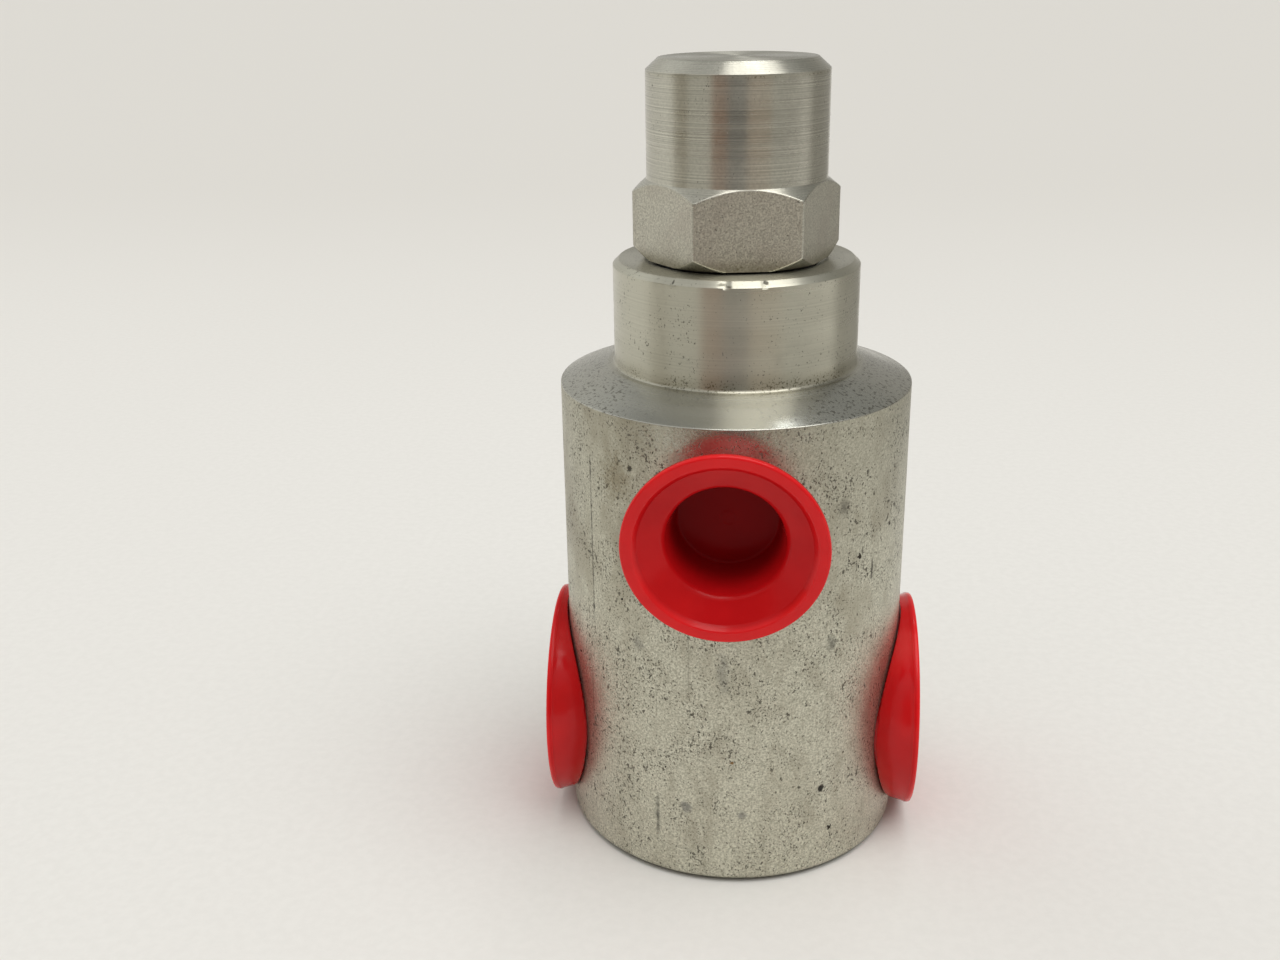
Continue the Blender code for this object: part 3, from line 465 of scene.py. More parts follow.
def turned_steel(name, base, contrast, groove_scale, depth, rough, grime_and_shade, pit_threshold, marks=()):
    """Plated steel off the lathe: level grooves that spread the highlights up and down.

    grime lists level bands, some of dirt and some of painted shade, each with its height and spread in
    millimetres and its strength.
    Below the neck's foot the same steel is the shoulder: greyer, smoother, and specked at the sides.
    """
    n = Surface(name)
    grooves = n.level_lines(groove_scale)
    bands = n.noise(n.round_the_axis(0.6), 0.45, 2.0, 0.5)
    grit = n.noise(n.mm, 3.0, 3.0, 0.65)
    patch = n.noise(n.mm, 0.25, 3.0, 0.6)
    shade = n.plus(n.minus(grooves, 0.5), n.times(n.minus(grit, 0.5), 0.45))
    dark = tuple(c * (1 - contrast) for c in base)
    light = tuple(c * (1 + 0.5 * contrast) for c in base)
    colour = n.mix(n.step(shade, -0.24, 0.24), dark, light)
    colour = n.mix(n.step(patch, 0.52, 0.8, 0.0, 0.3), colour, tuple(c * 0.6 for c in base))
    # Each band darkens the steel and adds dark flecks: dirt in some bands, painted shade in others
    for height, spread, strength in grime_and_shade:
        near = n.step(n.math("ABSOLUTE", n.minus(n.z, height)), spread, 0.0)
        near = n.times(near, n.step(n.noise(n.mm, 0.22, 2.0), 0.34, 0.62, 0.5, 1.0))
        colour = n.mix(n.times(near, 0.4 * strength), colour, GRIME_AND_SHADE)
        gritty = n.flecks(n.mm, 3.6, 0.68, n.times(near, 0.17), 0.12)
        colour = n.mix(n.times(near, gritty, strength), colour, (0.11, 0.10, 0.06))
    shoulder = n.step(n.z, NECK_FOOT / MM + 0.3, NECK_FOOT / MM - 0.3)
    colour = n.mix(n.times(shoulder, n.step(grit, 0.3, 0.7, 0.95, 0.6)), colour, (0.465, 0.46, 0.42))
    sideways = n.times(shoulder, n.step(n.math("ABSOLUTE", n.plus(n.x, 2.0)), 8.0, 15.0, 0.3, 1.0))
    specks = n.flecks(n.mm, 2.2, 0.70, n.times(sideways, 0.14), 0.06)
    colour = n.mix(n.times(sideways, specks, 0.75), colour, (0.13, 0.12, 0.095))
    pits = weathered(n, pit_threshold)
    colour = n.mix(n.times(pits, 0.8), colour, DIRT)
    for place, height, wide, tall, blur, tint, strength in marks:
        colour = n.mix(n.times(n.mark(place, height, wide, tall, blur), strength), colour, tint)
    n.set("Base Color", colour)
    n.set("Metallic", 0.96)
    smooth = n.minus(n.step(bands, 0.3, 0.7, rough - 0.03, rough + 0.05), n.times(shoulder, 0.07))
    n.set("Roughness", n.plus(smooth, n.times(pits, 0.25)))
    n.set("Anisotropic", n.mix_value(shoulder, 0.9, 0.7))
    n.set("Anisotropic Rotation", 0.25)
    tangent = n.tree.nodes.new("ShaderNodeTangent")
    tangent.direction_type = "RADIAL"
    tangent.axis = "Z"
    n.set("Tangent", tangent.outputs[0])
    n.set("Normal", n.bump(n.minus(n.plus(grooves, n.times(grit, 0.12)), n.times(pits, 0.3)), depth, 0.6))
    return n.material


def hex_steel():
    """The hexagon's flats: granular plating, with a few dark pits, and dirt and painted shade along the
    foot.
    """
    n = Surface("hex_flats")
    grit = n.noise(n.mm, 4.2, 3.0, 0.65)
    patch = n.noise(n.mm, 0.2, 2.0, 0.5)
    colour = n.mix(n.step(grit, 0.32, 0.68), (0.39, 0.375, 0.32), (0.67, 0.65, 0.56))
    colour = n.mix(n.step(patch, 0.42, 0.7, 0.0, 0.3), colour, (0.42, 0.37, 0.32))
    pits = weathered(n, 0.73)
    colour = n.mix(n.times(pits, 0.8), colour, DIRT)
    # Dirt and painted shade: the flats darken towards the foot, just above the neck's top
    foot_dirt_and_shade = n.step(n.z, CAP_FOOT / MM + 1.8, CAP_FOOT / MM + 0.1, 0.0, 0.5)
    colour = n.mix(foot_dirt_and_shade, colour, GRIME_AND_SHADE)
    foot = n.step(n.z, 90.0, 88.0)
    gritty = n.flecks(n.mm, 2.8, 0.68, n.times(foot, 0.12), 0.12)
    colour = n.mix(n.times(foot, gritty, 0.6), colour, (0.16, 0.15, 0.09))
    n.set("Base Color", colour)
    n.set("Metallic", 0.92)
    n.set("Roughness", n.step(grit, 0.2, 0.8, 0.36, 0.48))
    n.set("Normal", n.bump(n.minus(grit, n.times(pits, 0.5)), 0.00010, 0.8))
    return n.material


def ground_steel(name, base, rough):
    """Bare ground steel, with fine level grooves."""
    n = Surface(name)
    grooves = n.level_lines(4.0, 2.0)
    n.set("Base Color", n.mix(n.step(grooves, 0.3, 0.7), tuple(c * 0.8 for c in base), base))
    n.set("Metallic", 1.0)
    n.set("Roughness", n.step(grooves, 0.3, 0.7, rough - 0.05, rough + 0.08))
    n.set("Normal", n.bump(grooves, 0.00001, 0.5))
    return n.material


def red_plastic():
    """Moulded polyethylene: waxy and scuffed, with painted shade inside the rim, deeper in the cup and on
    the bowl's back.
    """
    n = Surface("red_plastic")
    cloud = n.noise(n.mm, 0.12, 3.0, 0.5)
    wax = n.noise(n.mm, 0.9, 3.0, 0.6)
    colour = n.mix(n.step(cloud, 0.3, 0.7), (0.72, 0.0085, 0.012), (0.84, 0.0115, 0.015))
    scuffs = n.step(n.noise(n.mm, 2.4, 4.0, 0.7), 0.66, 0.80, 0.0, 0.3)
    colour = n.mix(scuffs, colour, (0.86, 0.09, 0.08))
    dust = n.flecks(n.mm, 1.4, 0.80)
    colour = n.mix(n.times(dust, 0.4), colour, (0.30, 0.10, 0.09))
    # Painted shade by depth in the plug's face: darker from just inside the rim, much darker deep in the
    # cup, and darker on the bowl's back, where the depth is -1
    depth = n.attribute("cup_depth")
    cup = n.step(depth, 3.0, 8.5)
    shade = n.plus(n.step(depth, 0.1, 0.8, 0.0, 0.26), n.times(cup, 0.54))
    shade = n.plus(shade, n.step(depth, -0.2, -0.8, 0.0, 0.26))
    colour = n.mix(shade, colour, (0.10, 0.001, 0.002))
    n.set("Base Color", colour)
    n.set("Roughness", n.step(wax, 0.25, 0.75, 0.13, 0.21))
    shine = n.minus(n.step(depth, 0.1, 0.8, 0.26, 0.15), n.step(depth, 3.5, 8.0, 0.0, 0.10))
    n.set("Specular IOR Level", shine)
    n.set("Subsurface Weight", 0.08)
    n.set("Subsurface Radius", (1.0, 0.10, 0.08))
    n.set("Subsurface Scale", 0.001)
    n.set("Normal", n.bump(wax, 0.00005, 0.35))
    return n.material


def plain_rubber():
    """Black nitrile rubber with a faint moulded grain."""
    n = Surface("black_rubber")
    grain = n.noise(n.mm, 3.0, 2.0)
    n.set("Base Color", n.mix(grain, (0.012, 0.012, 0.012), (0.03, 0.03, 0.03)))
    n.set("Roughness", n.step(grain, 0.2, 0.8, 0.45, 0.65))
    n.set("Normal", n.bump(grain, 0.00003, 0.4))
    return n.material


def ptfe():
    """White sealing plastic, turned."""
    n = Surface("white_plastic")
    grooves = n.level_lines(3.0, 2.0)
    n.set("Base Color", n.mix(grooves, (0.66, 0.63, 0.56), (0.80, 0.78, 0.72)))
    n.set("Roughness", 0.48)
    n.set("Subsurface Weight", 0.2)
    n.set("Subsurface Scale", 0.001)
    n.set("Normal", n.bump(grooves, 0.00002, 0.4))
    return n.material


def floor_material():
    """Pale paper, a little darker towards the back."""
    n = Surface("paper_floor")
    fibre = n.noise(n.mm, 0.6, 4.0, 0.6)
    shade = n.noise(n.mm, 0.004, 2.0, 0.5)
    paper = n.mix(n.step(fibre, 0.3, 0.7), (0.79, 0.775, 0.745), (0.82, 0.805, 0.775))
    paper = n.mix(n.step(shade, 0.3, 0.7, 0.0, 0.3), paper, (0.78, 0.765, 0.735))
    far = n.step(n.y, 60.0, 700.0, 0.0, 1.0)
    n.set("Base Color", n.mix(far, paper, (0.72, 0.70, 0.665)))
    n.set("Roughness", 0.8)
    n.set("Specular IOR Level", 0.1)
    return n.material


# ---------------------------------------------------------------- body
NECK_RADIUS = 17.5 * MM
NECK_FOOT = 72.5 * MM
SHOULDER = 70.0 * MM
TANK_PORT_Z = 54.35 * MM
CAVITY_FLOOR = 20.0 * MM
NOSE_BORE = 7.95 * MM
CAVITY_BORE = 10.2 * MM
GLAND_BORE = 11.2 * MM
SIDE_PORT_BORE = 12.95 * MM
SIDE_PORT_DEPTH = 11.5 * MM
SIDE_PORT_FACE = 21.0 * MM
GALLERY_BORE = 9.5 * MM
TANK_BORE = 7.2 * MM
CUT_REACH = 27.0 * MM
BODY_SIDES = 256
PORT_SIDES = 144
# Nicks in the neck's chamfer: degrees from the front, and depth
NICKS = ((-27.5, 0.10 * MM), (-3.2, 0.14 * MM), (14.6, 0.20 * MM))
NICK_WIDTH = 0.35 * MM


def body_shell(side, turned):
    """The line body: a turned outline with its stepped cavity, nicked, and cut by the three ports.

    Two close rows on each side of the neck's chamfer keep the nicks from showing further on.
    """
    outline = [
        (0.0, CAVITY_FLOOR),
        (NOSE_BORE, CAVITY_FLOOR),
        (NOSE_BORE, 44.0 * MM, 0.3 * MM),
        (CAVITY_BORE, 46.0 * MM, 0.3 * MM),
        (CAVITY_BORE, 65.0 * MM),
        (GLAND_BORE, 66.0 * MM),
        (GLAND_BORE, NECK_TOP - 1.5 * MM),
        (12.7 * MM, NECK_TOP, 0.1 * MM),
        (NECK_RADIUS - 1.5 * MM, NECK_TOP),
        (NECK_RADIUS - 1.25 * MM, NECK_TOP),
        (NECK_RADIUS - 0.85 * MM, NECK_TOP, 0.12 * MM),
        (NECK_RADIUS, NECK_TOP - 0.8 * MM, 0.12 * MM),
        (NECK_RADIUS, NECK_TOP - 1.0 * MM),
        (NECK_RADIUS, NECK_TOP - 1.3 * MM),
        (NECK_RADIUS, NECK_FOOT + 0.1 * MM, 0.7 * MM),
        (NECK_RADIUS + 0.9 * MM, NECK_FOOT - 0.05 * MM, 0.2 * MM),
        (BODY_RADIUS, SHOULDER, 0.2 * MM),
        (BODY_RADIUS, 0.9 * MM, 0.3 * MM),
        (BODY_RADIUS - 0.9 * MM, 0.0, 0.2 * MM),
        (0.0, 0.0),
    ]
    points = rounded(outline, 5)[1:-1]
    angles = np.arange(BODY_SIDES) * TURN / BODY_SIDES
    radii = np.repeat(points[:, :1], BODY_SIDES, axis=1)
    heights = np.repeat(points[:, 1:], BODY_SIDES, axis=1)
    chamfer = (points[:, 1] > NECK_TOP - 0.9 * MM) & (points[:, 0] > NECK_RADIUS - 1.2 * MM)
    for around, depth in NICKS:
        where = math.radians(around) - math.pi / 2
        away = (angles - where + math.pi) % TURN - math.pi
        dent = depth * np.exp(-((away * NECK_RADIUS / NICK_WIDTH) ** 2))
        radii[chamfer] -= dent
        heights[chamfer] -= dent * 0.6
    shell = surface_piece("body_shell", radii, heights, BODY_SIDES, side)
    half_gallery = [
        (0.0, CUT_REACH),
        (13.6 * MM, CUT_REACH),
        (13.45 * MM, SIDE_PORT_FACE, 0.15 * MM),
        (13.1 * MM, 20.6 * MM),
        (SIDE_PORT_BORE, SIDE_PORT_DEPTH),
        (GALLERY_BORE, 9.5 * MM),
    ]
    other_half = [(radius, -level, *corner) for radius, level, *corner in reversed(half_gallery)]
    side_cut = half_gallery + other_half
    gallery = turned_piece("gallery_cut", side_cut, PORT_SIDES, side)
    turn_to(gallery, (0.0, 0.0, GALLERY_Z), (1.0, 0.0, 0.0))
    cut(shell, gallery)
    tank_cut = [
        (0.0, CUT_REACH),
        (10.75 * MM, CUT_REACH),
        (10.3 * MM, 13.5 * MM),
        (TANK_BORE, 11.5 * MM),
        (TANK_BORE, 6.0 * MM),
        (0.0, 6.0 * MM),
    ]
    tank = turned_piece("tank_cut", tank_cut, PORT_SIDES, side)
    turn_to(tank, (0.0, 0.0, TANK_PORT_Z), (0.0, -1.0, 0.0))
    cut(shell, tank)
    shell.data.shade_smooth()
    shell.data.set_sharp_from_angle(angle=math.radians(30))
    shell.data.materials.append(turned)
    for face in shell.data.polygons:
        centre = face.center
        in_cavity = math.hypot(centre.x, centre.y) < BODY_RADIUS - 3 * MM and centre.z > CAVITY_FLOOR
        if centre.z > SHOULDER - 0.1 * MM or in_cavity:
            face.material_index = 1
    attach(shell, "valve_body")
    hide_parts("line_body")


def port_thread(name, wall, depth, near, far, place, direction, material):
    """A port's internal thread: a thin ring, its inner wall threaded and its outer wall in the metal."""
    rows = int((far - near) / PORT_PITCH * 10)
    sides = 128
    heights = np.linspace(far, near, rows)[:, None]
    angles = (np.arange(sides) * TURN / sides)[None, :]
    ends = np.clip(np.minimum(heights - near, far - heights) / (1.2 * MM), 0.0, 1.0)
    inner = wall - thread(heights, angles, PORT_PITCH, depth) * ends
    outer = np.full((1, sides), wall + 0.12 * MM)
    radii = np.vstack([inner[::-1], outer, outer])
    levels = np.vstack([heights[::-1], [[far]], [[near]]])
    ring = surface_piece(name, radii, levels, sides, material, loop=True, sharp=60.0)
    turn_to(ring, place, direction)
    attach(ring, "valve_body")


# ---------------------------------------------------------------- cap
CAP_RADIUS = 12.58 * MM
CAP_HEX_CORNERS = 14.63 * MM
CAP_HEX_TOP = 98.6 * MM
CAP_YAW = math.radians(8.4)
CAP_FOOT_RADIUS = 13.0 * MM
SEAL_RECESS_RADIUS = 11.9 * MM
SEAL_RECESS_TOP = CAP_FOOT + 1.8 * MM
CAP_THREAD_ROOT = 10.3 * MM
CAP_THREAD_TOP = 95.8 * MM
CAP_THREAD_DEPTH = 0.65 * MM
CAP_BORE = 8.8 * MM
CAP_BORE_TOP = 111.0 * MM
CAP_SIDES = 480


def cap_shell(cap_steel, flats_steel):
    """Hexagon and cylinder in one: at each point the lesser of a turned outline and the hexagon."""
    top_slope = math.tan(math.radians(40))
    corner = 14.9 * MM
    outside = [
        (0.0, CAP_TOP),
        (10.84 * MM, CAP_TOP, 0.35 * MM),
        (CAP_RADIUS, CAP_TOP - 1.56 * MM, 0.2 * MM),
        (CAP_RADIUS, CAP_HEX_TOP, 0.25 * MM),
        (corner, CAP_HEX_TOP - (corner - CAP_RADIUS) * top_slope),
        (corner, CAP_FOOT + corner - CAP_FOOT_RADIUS),
        (CAP_FOOT_RADIUS, CAP_FOOT),
    ]
    inside = [
        (SEAL_RECESS_RADIUS, CAP_FOOT, 0.1 * MM),
        (SEAL_RECESS_RADIUS, SEAL_RECESS_TOP),
        (CAP_THREAD_ROOT, SEAL_RECESS_TOP),
        (CAP_THREAD_ROOT, CAP_THREAD_TOP),
        (CAP_BORE, 96.8 * MM),
        (CAP_BORE, 109.7 * MM),
        (7.5 * MM, CAP_BORE_TOP, 0.5 * MM),
        (0.0, CAP_BORE_TOP),
    ]
    fine = 0.16 * MM
    hexagon_end = CAP_HEX_TOP + 0.3 * MM
    profile = []
    shape = [np.array(p) for p in rounded(outside, 5)[1:]]
    for start, end in zip(shape, shape[1:]):
        hexagonal = max(start[1], end[1]) < hexagon_end
        parts = max(1, int(np.linalg.norm(end - start) / fine)) if hexagonal else 1
        for k in range(parts):
            profile.append(start + (end - start) * k / parts)
    profile.append(shape[-1])
    profile = np.array(profile)
    angles = np.arange(CAP_SIDES) * TURN / CAP_SIDES
    sides = hexagon(angles, CAP_HEX_CORNERS, CAP_YAW, 0.22 * MM)[None, :]
    outer = profile[:, :1]
    below = profile[:, 1:] < hexagon_end
    turned = np.broadcast_to(outer, (len(outer), CAP_SIDES))
    radii = np.where(below, smooth_min(turned, sides, 0.12 * MM), turned)
    heights = np.repeat(profile[:, 1:], CAP_SIDES, axis=1)
    bore = rounded(inside, 4)[:-1]
    thread_rows = np.arange(CAP_FOOT + 1.85 * MM, CAP_THREAD_TOP - 0.1 * MM, CAP_PITCH / 9)
    grid = thread_rows[:, None]
    threaded = CAP_THREAD_ROOT - thread(grid, angles[None, :], CAP_PITCH, CAP_THREAD_DEPTH)
    lower = bore[bore[:, 1] <= CAP_FOOT + 1.81 * MM]
    upper = bore[bore[:, 1] > CAP_FOOT + 1.81 * MM]
    radii = np.vstack([
        radii,
        np.repeat(lower[:, :1], CAP_SIDES, axis=1),
        threaded,
        np.repeat(upper[:, :1], CAP_SIDES, axis=1),
    ])
    heights = np.vstack([
        heights,
        np.repeat(lower[:, 1:], CAP_SIDES, axis=1),
        np.repeat(grid, CAP_SIDES, axis=1),
        np.repeat(upper[:, 1:], CAP_SIDES, axis=1),
    ])
    shell = surface_piece("cap_shell", radii, heights, CAP_SIDES, cap_steel, sharp=38.0)
    shell.data.materials.append(flats_steel)
    middle_flat = CAP_HEX_CORNERS * math.cos(math.pi / 6)
    for face in shell.data.polygons:
        centre = face.center
        level = math.hypot(face.normal.x, face.normal.y) > 0.97
        facing = math.atan2(face.normal.y, face.normal.x) - CAP_YAW - math.pi / 6
        square_on = abs((facing + math.pi / 6) % (math.pi / 3) - math.pi / 6) < math.radians(4)
        outer_wall = math.hypot(centre.x, centre.y) > middle_flat - 0.05 * MM
        if level and square_on and outer_wall and centre.z < CAP_HEX_TOP:
            face.material_index = 1
    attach(shell, "cap")
    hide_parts("cap")


# ---------------------------------------------------------------- plugs
# Radii and depths of the plugs, in millimetres
FRONT_PLUG = {
    "flange": 13.9, "rim": 12.1, "mouth": 8.75, "mouth_depth": 2.5, "cup": 8.0, "floor": 7.3,
    "bowl": 10.2, "bowl_depth": 6.2, "bowl_curve": 1.15, "neck": 9.6, "neck_depth": 4.4,
    "barrel": 9.3, "barrel_depth": 5.2, "end": 8.8,
}
SIDE_PLUG = {
    "flange": 16.3, "rim": 14.5, "mouth": 11.0, "mouth_depth": 2.4, "cup": 10.3, "floor": 9.6,
    "bowl": 13.35, "bowl_depth": 6.2, "bowl_curve": 2.0, "neck": 13.2, "neck_depth": 6.4,
    "barrel": 12.0, "barrel_depth": 7.8, "end": 11.4,
}
PLUG_LIP = 0.3 * MM
PLUG_EDGE = 0.8 * MM
PLUG_FLOOR = 10.0 * MM
PLUG_LENGTH = 11.2 * MM
PLUG_SIDES = 192
SADDLE_RADIUS = BODY_RADIUS + 0.3 * MM
FRONT_PLUG_OFFSET = -0.5 * MM
FRONT_PLUG_DISTANCE = 29.1 * MM
FRONT_PLUG_TILT = math.radians(5.5)
FRONT_PLUG_YAW = math.radians(1.0)


def saddle_depth(radii, angles, place, axes):
    """Height on a plug's own axis at which lines parallel to it meet the body's round side."""
    across, up, along = axes
    x = place.x + radii * (np.cos(angles) * across.x + np.sin(angles) * up.x)
    y = place.y + radii * (np.cos(angles) * across.y + np.sin(angles) * up.y)
    a = along.x ** 2 + along.y ** 2
    b = x * along.x + y * along.y
    c = x * x + y * y - SADDLE_RADIUS ** 2
    return (-b + np.sqrt(np.maximum(b * b - a * c, 0.0))) / a


def plug(name, size, place, direction, body, node, material):
    """A bowl-backed plug. Down its back the bowl is cut off where it meets the body."""
    s = {key: value * MM for key, value in size.items()}
    place = Vector(place)
    turn = Vector((0.0, 0.0, 1.0)).rotation_difference(Vector(direction)).to_matrix()
    axes = [Vector(turn.col[i]) for i in range(3)]
    angles = np.arange(PLUG_SIDES) * TURN / PLUG_SIDES
    floor = -PLUG_FLOOR
    end = -PLUG_LENGTH
    front = rounded([
        (0.0, floor + 0.06 * MM),
        (0.8 * MM, floor + 0.06 * MM, 0.2 * MM),
        (1.2 * MM, floor, 0.2 * MM),
        (s["floor"] - 0.2 * MM, floor, 0.45 * MM),
        (s["cup"] + 0.15 * MM, -s["mouth_depth"], 1.4 * MM),
        (s["rim"] - 0.5 * MM, -PLUG_EDGE, 0.5 * MM),
        (s["rim"] + 0.2 * MM, 0.0, 0.4 * MM),
        (s["flange"], 0.0, 0.6 * MM),
        (s["flange"], -PLUG_EDGE),
    ], 7)[1:]
    flat = np.repeat(front[:, :1], PLUG_SIDES, axis=1)
    level = np.repeat(front[:, 1:], PLUG_SIDES, axis=1)
    share = np.linspace(0.0, 1.0, 28)[1:, None] ** 1.3
    lip = PLUG_LIP * (1 - np.exp(-share * 12))
    draw = (s["flange"] - PLUG_LIP - s["bowl"]) * share ** size["bowl_curve"]
    bowl_radii = np.repeat(s["flange"] - lip - draw, PLUG_SIDES, axis=1)
    bowl_levels = np.repeat(-PLUG_EDGE - (s["bowl_depth"] - PLUG_EDGE) * share, PLUG_SIDES, axis=1)
    saddle = saddle_depth(bowl_radii, angles, place, axes)
    bowl_levels = np.maximum(bowl_levels, saddle)
    foot = np.full((1, PLUG_SIDES), s["neck"])
    foot_level = np.minimum(saddle_depth(foot, angles, place, axes), bowl_levels[-1:])
    foot_level = np.maximum(foot_level, -s["neck_depth"] + 0.05 * MM)
    back = rounded([
        (s["neck"], -s["neck_depth"]),
        (s["barrel"], -s["barrel_depth"]),
        (s["end"] + 0.05 * MM, end, 0.5 * MM),
        (0.0, end),
    ], 5)[:-1]
    radii = np.vstack([flat, bowl_radii, foot, np.repeat(back[:, :1], PLUG_SIDES, axis=1)])
    levels = np.vstack([level, bowl_levels, foot_level, np.repeat(back[:, 1:], PLUG_SIDES, axis=1)])
    wobble = 0.05 * MM * np.sin(2 * angles + 0.7) + 0.03 * MM * np.sin(3 * angles + 2.0)
    inner_ring = (radii > s["mouth"]) & (radii < s["rim"] - 0.3 * MM) & (levels > -s["mouth_depth"] - MM)
    levels = levels + np.where(inner_ring, wobble, 0.0)
    piece = surface_piece(name, radii, levels, PLUG_SIDES, material, sharp=50.0)
    mark_cup(piece, len(front) * PLUG_SIDES)
    turn_to(piece, place, direction)
    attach(piece, body)
    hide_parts(node)


def mark_cup(piece, front_points):
    """Stores how deep in the plug's face each point lies, in millimetres, for the red plastic's painted
    shade. Points of its back have -1.
    """
    depths = piece.data.attributes.new("cup_depth", "FLOAT", "POINT")
    points = piece.data.vertices
    for entry in depths.data:
        entry.value = -1.0
    middle_of_floor = len(points) - 2
    for i in (*range(front_points), middle_of_floor):
        depths.data[i].value = -points[i].co.z / MM


def plugs(material):
    """The front plug, which leans down and a little aside, and the two level side plugs."""
    level = math.cos(FRONT_PLUG_TILT)
    facing = (
        -math.sin(FRONT_PLUG_YAW) * level,
        -math.cos(FRONT_PLUG_YAW) * level,
        -math.sin(FRONT_PLUG_TILT),
    )
    face = (FRONT_PLUG_OFFSET, -FRONT_PLUG_DISTANCE, TANK_PORT_Z)
    plug("plug_front", FRONT_PLUG, face, facing, "front_plug", "front_port_plug", material)
    face = (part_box("left_port_plug")[0].x, 0.0, GALLERY_Z)
    plug("plug_left", SIDE_PLUG, face, (-1.0, 0.0, 0.0), "left_plug", "left_port_plug", material)
    face = (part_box("right_port_plug")[1].x, 0.0, GALLERY_Z)
    plug("plug_right", SIDE_PLUG, face, (1.0, 0.0, 0.0), "right_plug", "right_port_plug", material)


# ---------------------------------------------------------------- under the cap
RING_INNER = {"cap_seal": 9.7 * MM, "gland_o_ring": 9.85 * MM, "lock_washer": 5.05 * MM}
SCREW_HOLE = 5.05 * MM
STUB_ROOT = 8.75 * MM
STUB_TOP = 94.3 * MM
STUB_FOOT = 88.2 * MM
NUT_CORNERS = 8.25 * MM
NUT_YAW = math.radians(-11)
SCREW_ROOT = 4.2 * MM
SOCKET_CORNERS = 2.75 * MM
SOCKET_DEPTH = 5.0 * MM


def even_row(radius, sides):
    """One ring of points at the same radius."""
    return np.full((1, sides), radius)


def gland_piece(material):
    """The cartridge's gland: threaded stub, hexagon and screw hole."""
    sides = 192
    angles = np.arange(sides) * TURN / sides
    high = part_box("cartridge_gland")[1]
    rows = np.arange(STUB_TOP, STUB_FOOT, -CAP_PITCH / 9)[:, None]
    upper_end = np.clip((STUB_TOP + 0.05 * MM - rows) / (0.8 * MM), 0.0, 1.0)
    lower_end = np.clip((rows - STUB_FOOT) / MM, 0.0, 1.0)
    stub = STUB_ROOT + thread(rows, angles[None, :], CAP_PITCH, CAP_THREAD_DEPTH) * (upper_end * lower_end)
    hexagon_radii = hexagon(angles, NUT_CORNERS, 0.0, 0.15 * MM)[None, :]
    chamfer = rounded([
        (5.25 * MM, high.z),
        (7.4 * MM, high.z, 0.1 * MM),
        (8.4 * MM, high.z - 0.55 * MM),
    ], 3)
    top = smooth_min(np.repeat(chamfer[:, :1], sides, axis=1), hexagon_radii, 0.05 * MM)
    below = np.array([
        # radius, height: down the outside to the foot, then up the inside
        (8.7, 87.6),
        (9.5, 87.6),
        (10.9, 85.7),
        (10.9, 66.9),
        (10.3, 66.3),
        (7.6, 66.3),
        (7.6, 85.2),
        (5.05, 85.2),
    ]) * MM
    radii = np.vstack([
        even_row(SCREW_HOLE, sides),
        top,
        hexagon_radii,
        even_row(8.2 * MM, sides),
        stub,
        np.repeat(below[:, :1], sides, axis=1),
    ])
    heights = np.vstack([
        [[high.z - 0.2 * MM]],
        chamfer[:, 1:],
        [[94.9 * MM]],
        [[94.6 * MM]],
        rows,
        below[:, 1:],
    ])
    piece = surface_piece("gland_piece", radii, heights, sides, material, loop=True, sharp=50.0)
    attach(piece, "valve_body")
    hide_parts("cartridge_gland")


def screw_piece(material):
    """The adjusting screw: full thread, chamfered end and a hexagon socket."""
    sides = 128
    angles = np.arange(sides) * TURN / sides
    low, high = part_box("adjusting_screw")
    rows = np.arange(high.z - 0.6 * MM, low.z + 0.7 * MM, -SCREW_PITCH / 8)[:, None]
    ends = np.clip((high.z - 0.6 * MM - rows) / (0.7 * MM), 0.0, 1.0)
    body = SCREW_ROOT + thread(rows, angles[None, :], SCREW_PITCH, 0.5 * MM) * ends
    socket = hexagon(angles, SOCKET_CORNERS, 0.0, 0.05 * MM)[None, :]
    radii = np.vstack([
        socket * 0.02,
        socket,
        socket,
        socket * 1.12,
        even_row(3.75 * MM, sides),
        even_row(SCREW_ROOT, sides),
        body,
        even_row(4.0 * MM, sides),
        even_row(3.9 * MM, sides),
    ])
    heights = np.vstack([
        [[high.z - SOCKET_DEPTH]],
        [[high.z - SOCKET_DEPTH]],
        [[high.z - 0.35 * MM]],
        [[high.z]],
        [[high.z]],
        [[high.z - 0.5 * MM]],
        rows,
        [[low.z + 0.3 * MM]],
        [[low.z]],
    ])
    piece = surface_piece("screw_piece", radii, heights, sides, material, sharp=50.0)
    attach(piece, "adjusting_screw")
    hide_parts("adjusting_screw")


def nut_piece(material):
    """The lock nut, chamfered at both ends, with a plain hole."""
    sides = 192
    angles = np.arange(sides) * TURN / sides
    low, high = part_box("lock_nut")
    outline = rounded([
        (SCREW_HOLE, high.z - 0.5 * MM),
        (5.5 * MM, high.z, 0.1 * MM),
        (7.1 * MM, high.z, 0.1 * MM),
        (8.6 * MM, high.z - 0.75 * MM),
        (8.6 * MM, low.z + 0.75 * MM),
        (7.1 * MM, low.z, 0.1 * MM),
        (5.5 * MM, low.z, 0.1 * MM),
        (SCREW_HOLE, low.z + 0.5 * MM),
    ], 3)
    flats = hexagon(angles, NUT_CORNERS, NUT_YAW, 0.15 * MM)[None, :]
    dense = [outline[0]]
    for start, end in zip(outline, outline[1:]):
        parts = max(1, int(np.linalg.norm(end - start) / (0.15 * MM)))
        dense += [start + (end - start) * (k + 1) / parts for k in range(parts)]
    dense = np.array(dense)
    radii = smooth_min(np.repeat(dense[:, :1], sides, axis=1), flats, 0.06 * MM)
    piece = surface_piece("nut_piece", radii, dense[:, 1:], sides, material, loop=True, sharp=45.0)
    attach(piece, "lock_nut")
    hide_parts("lock_nut")


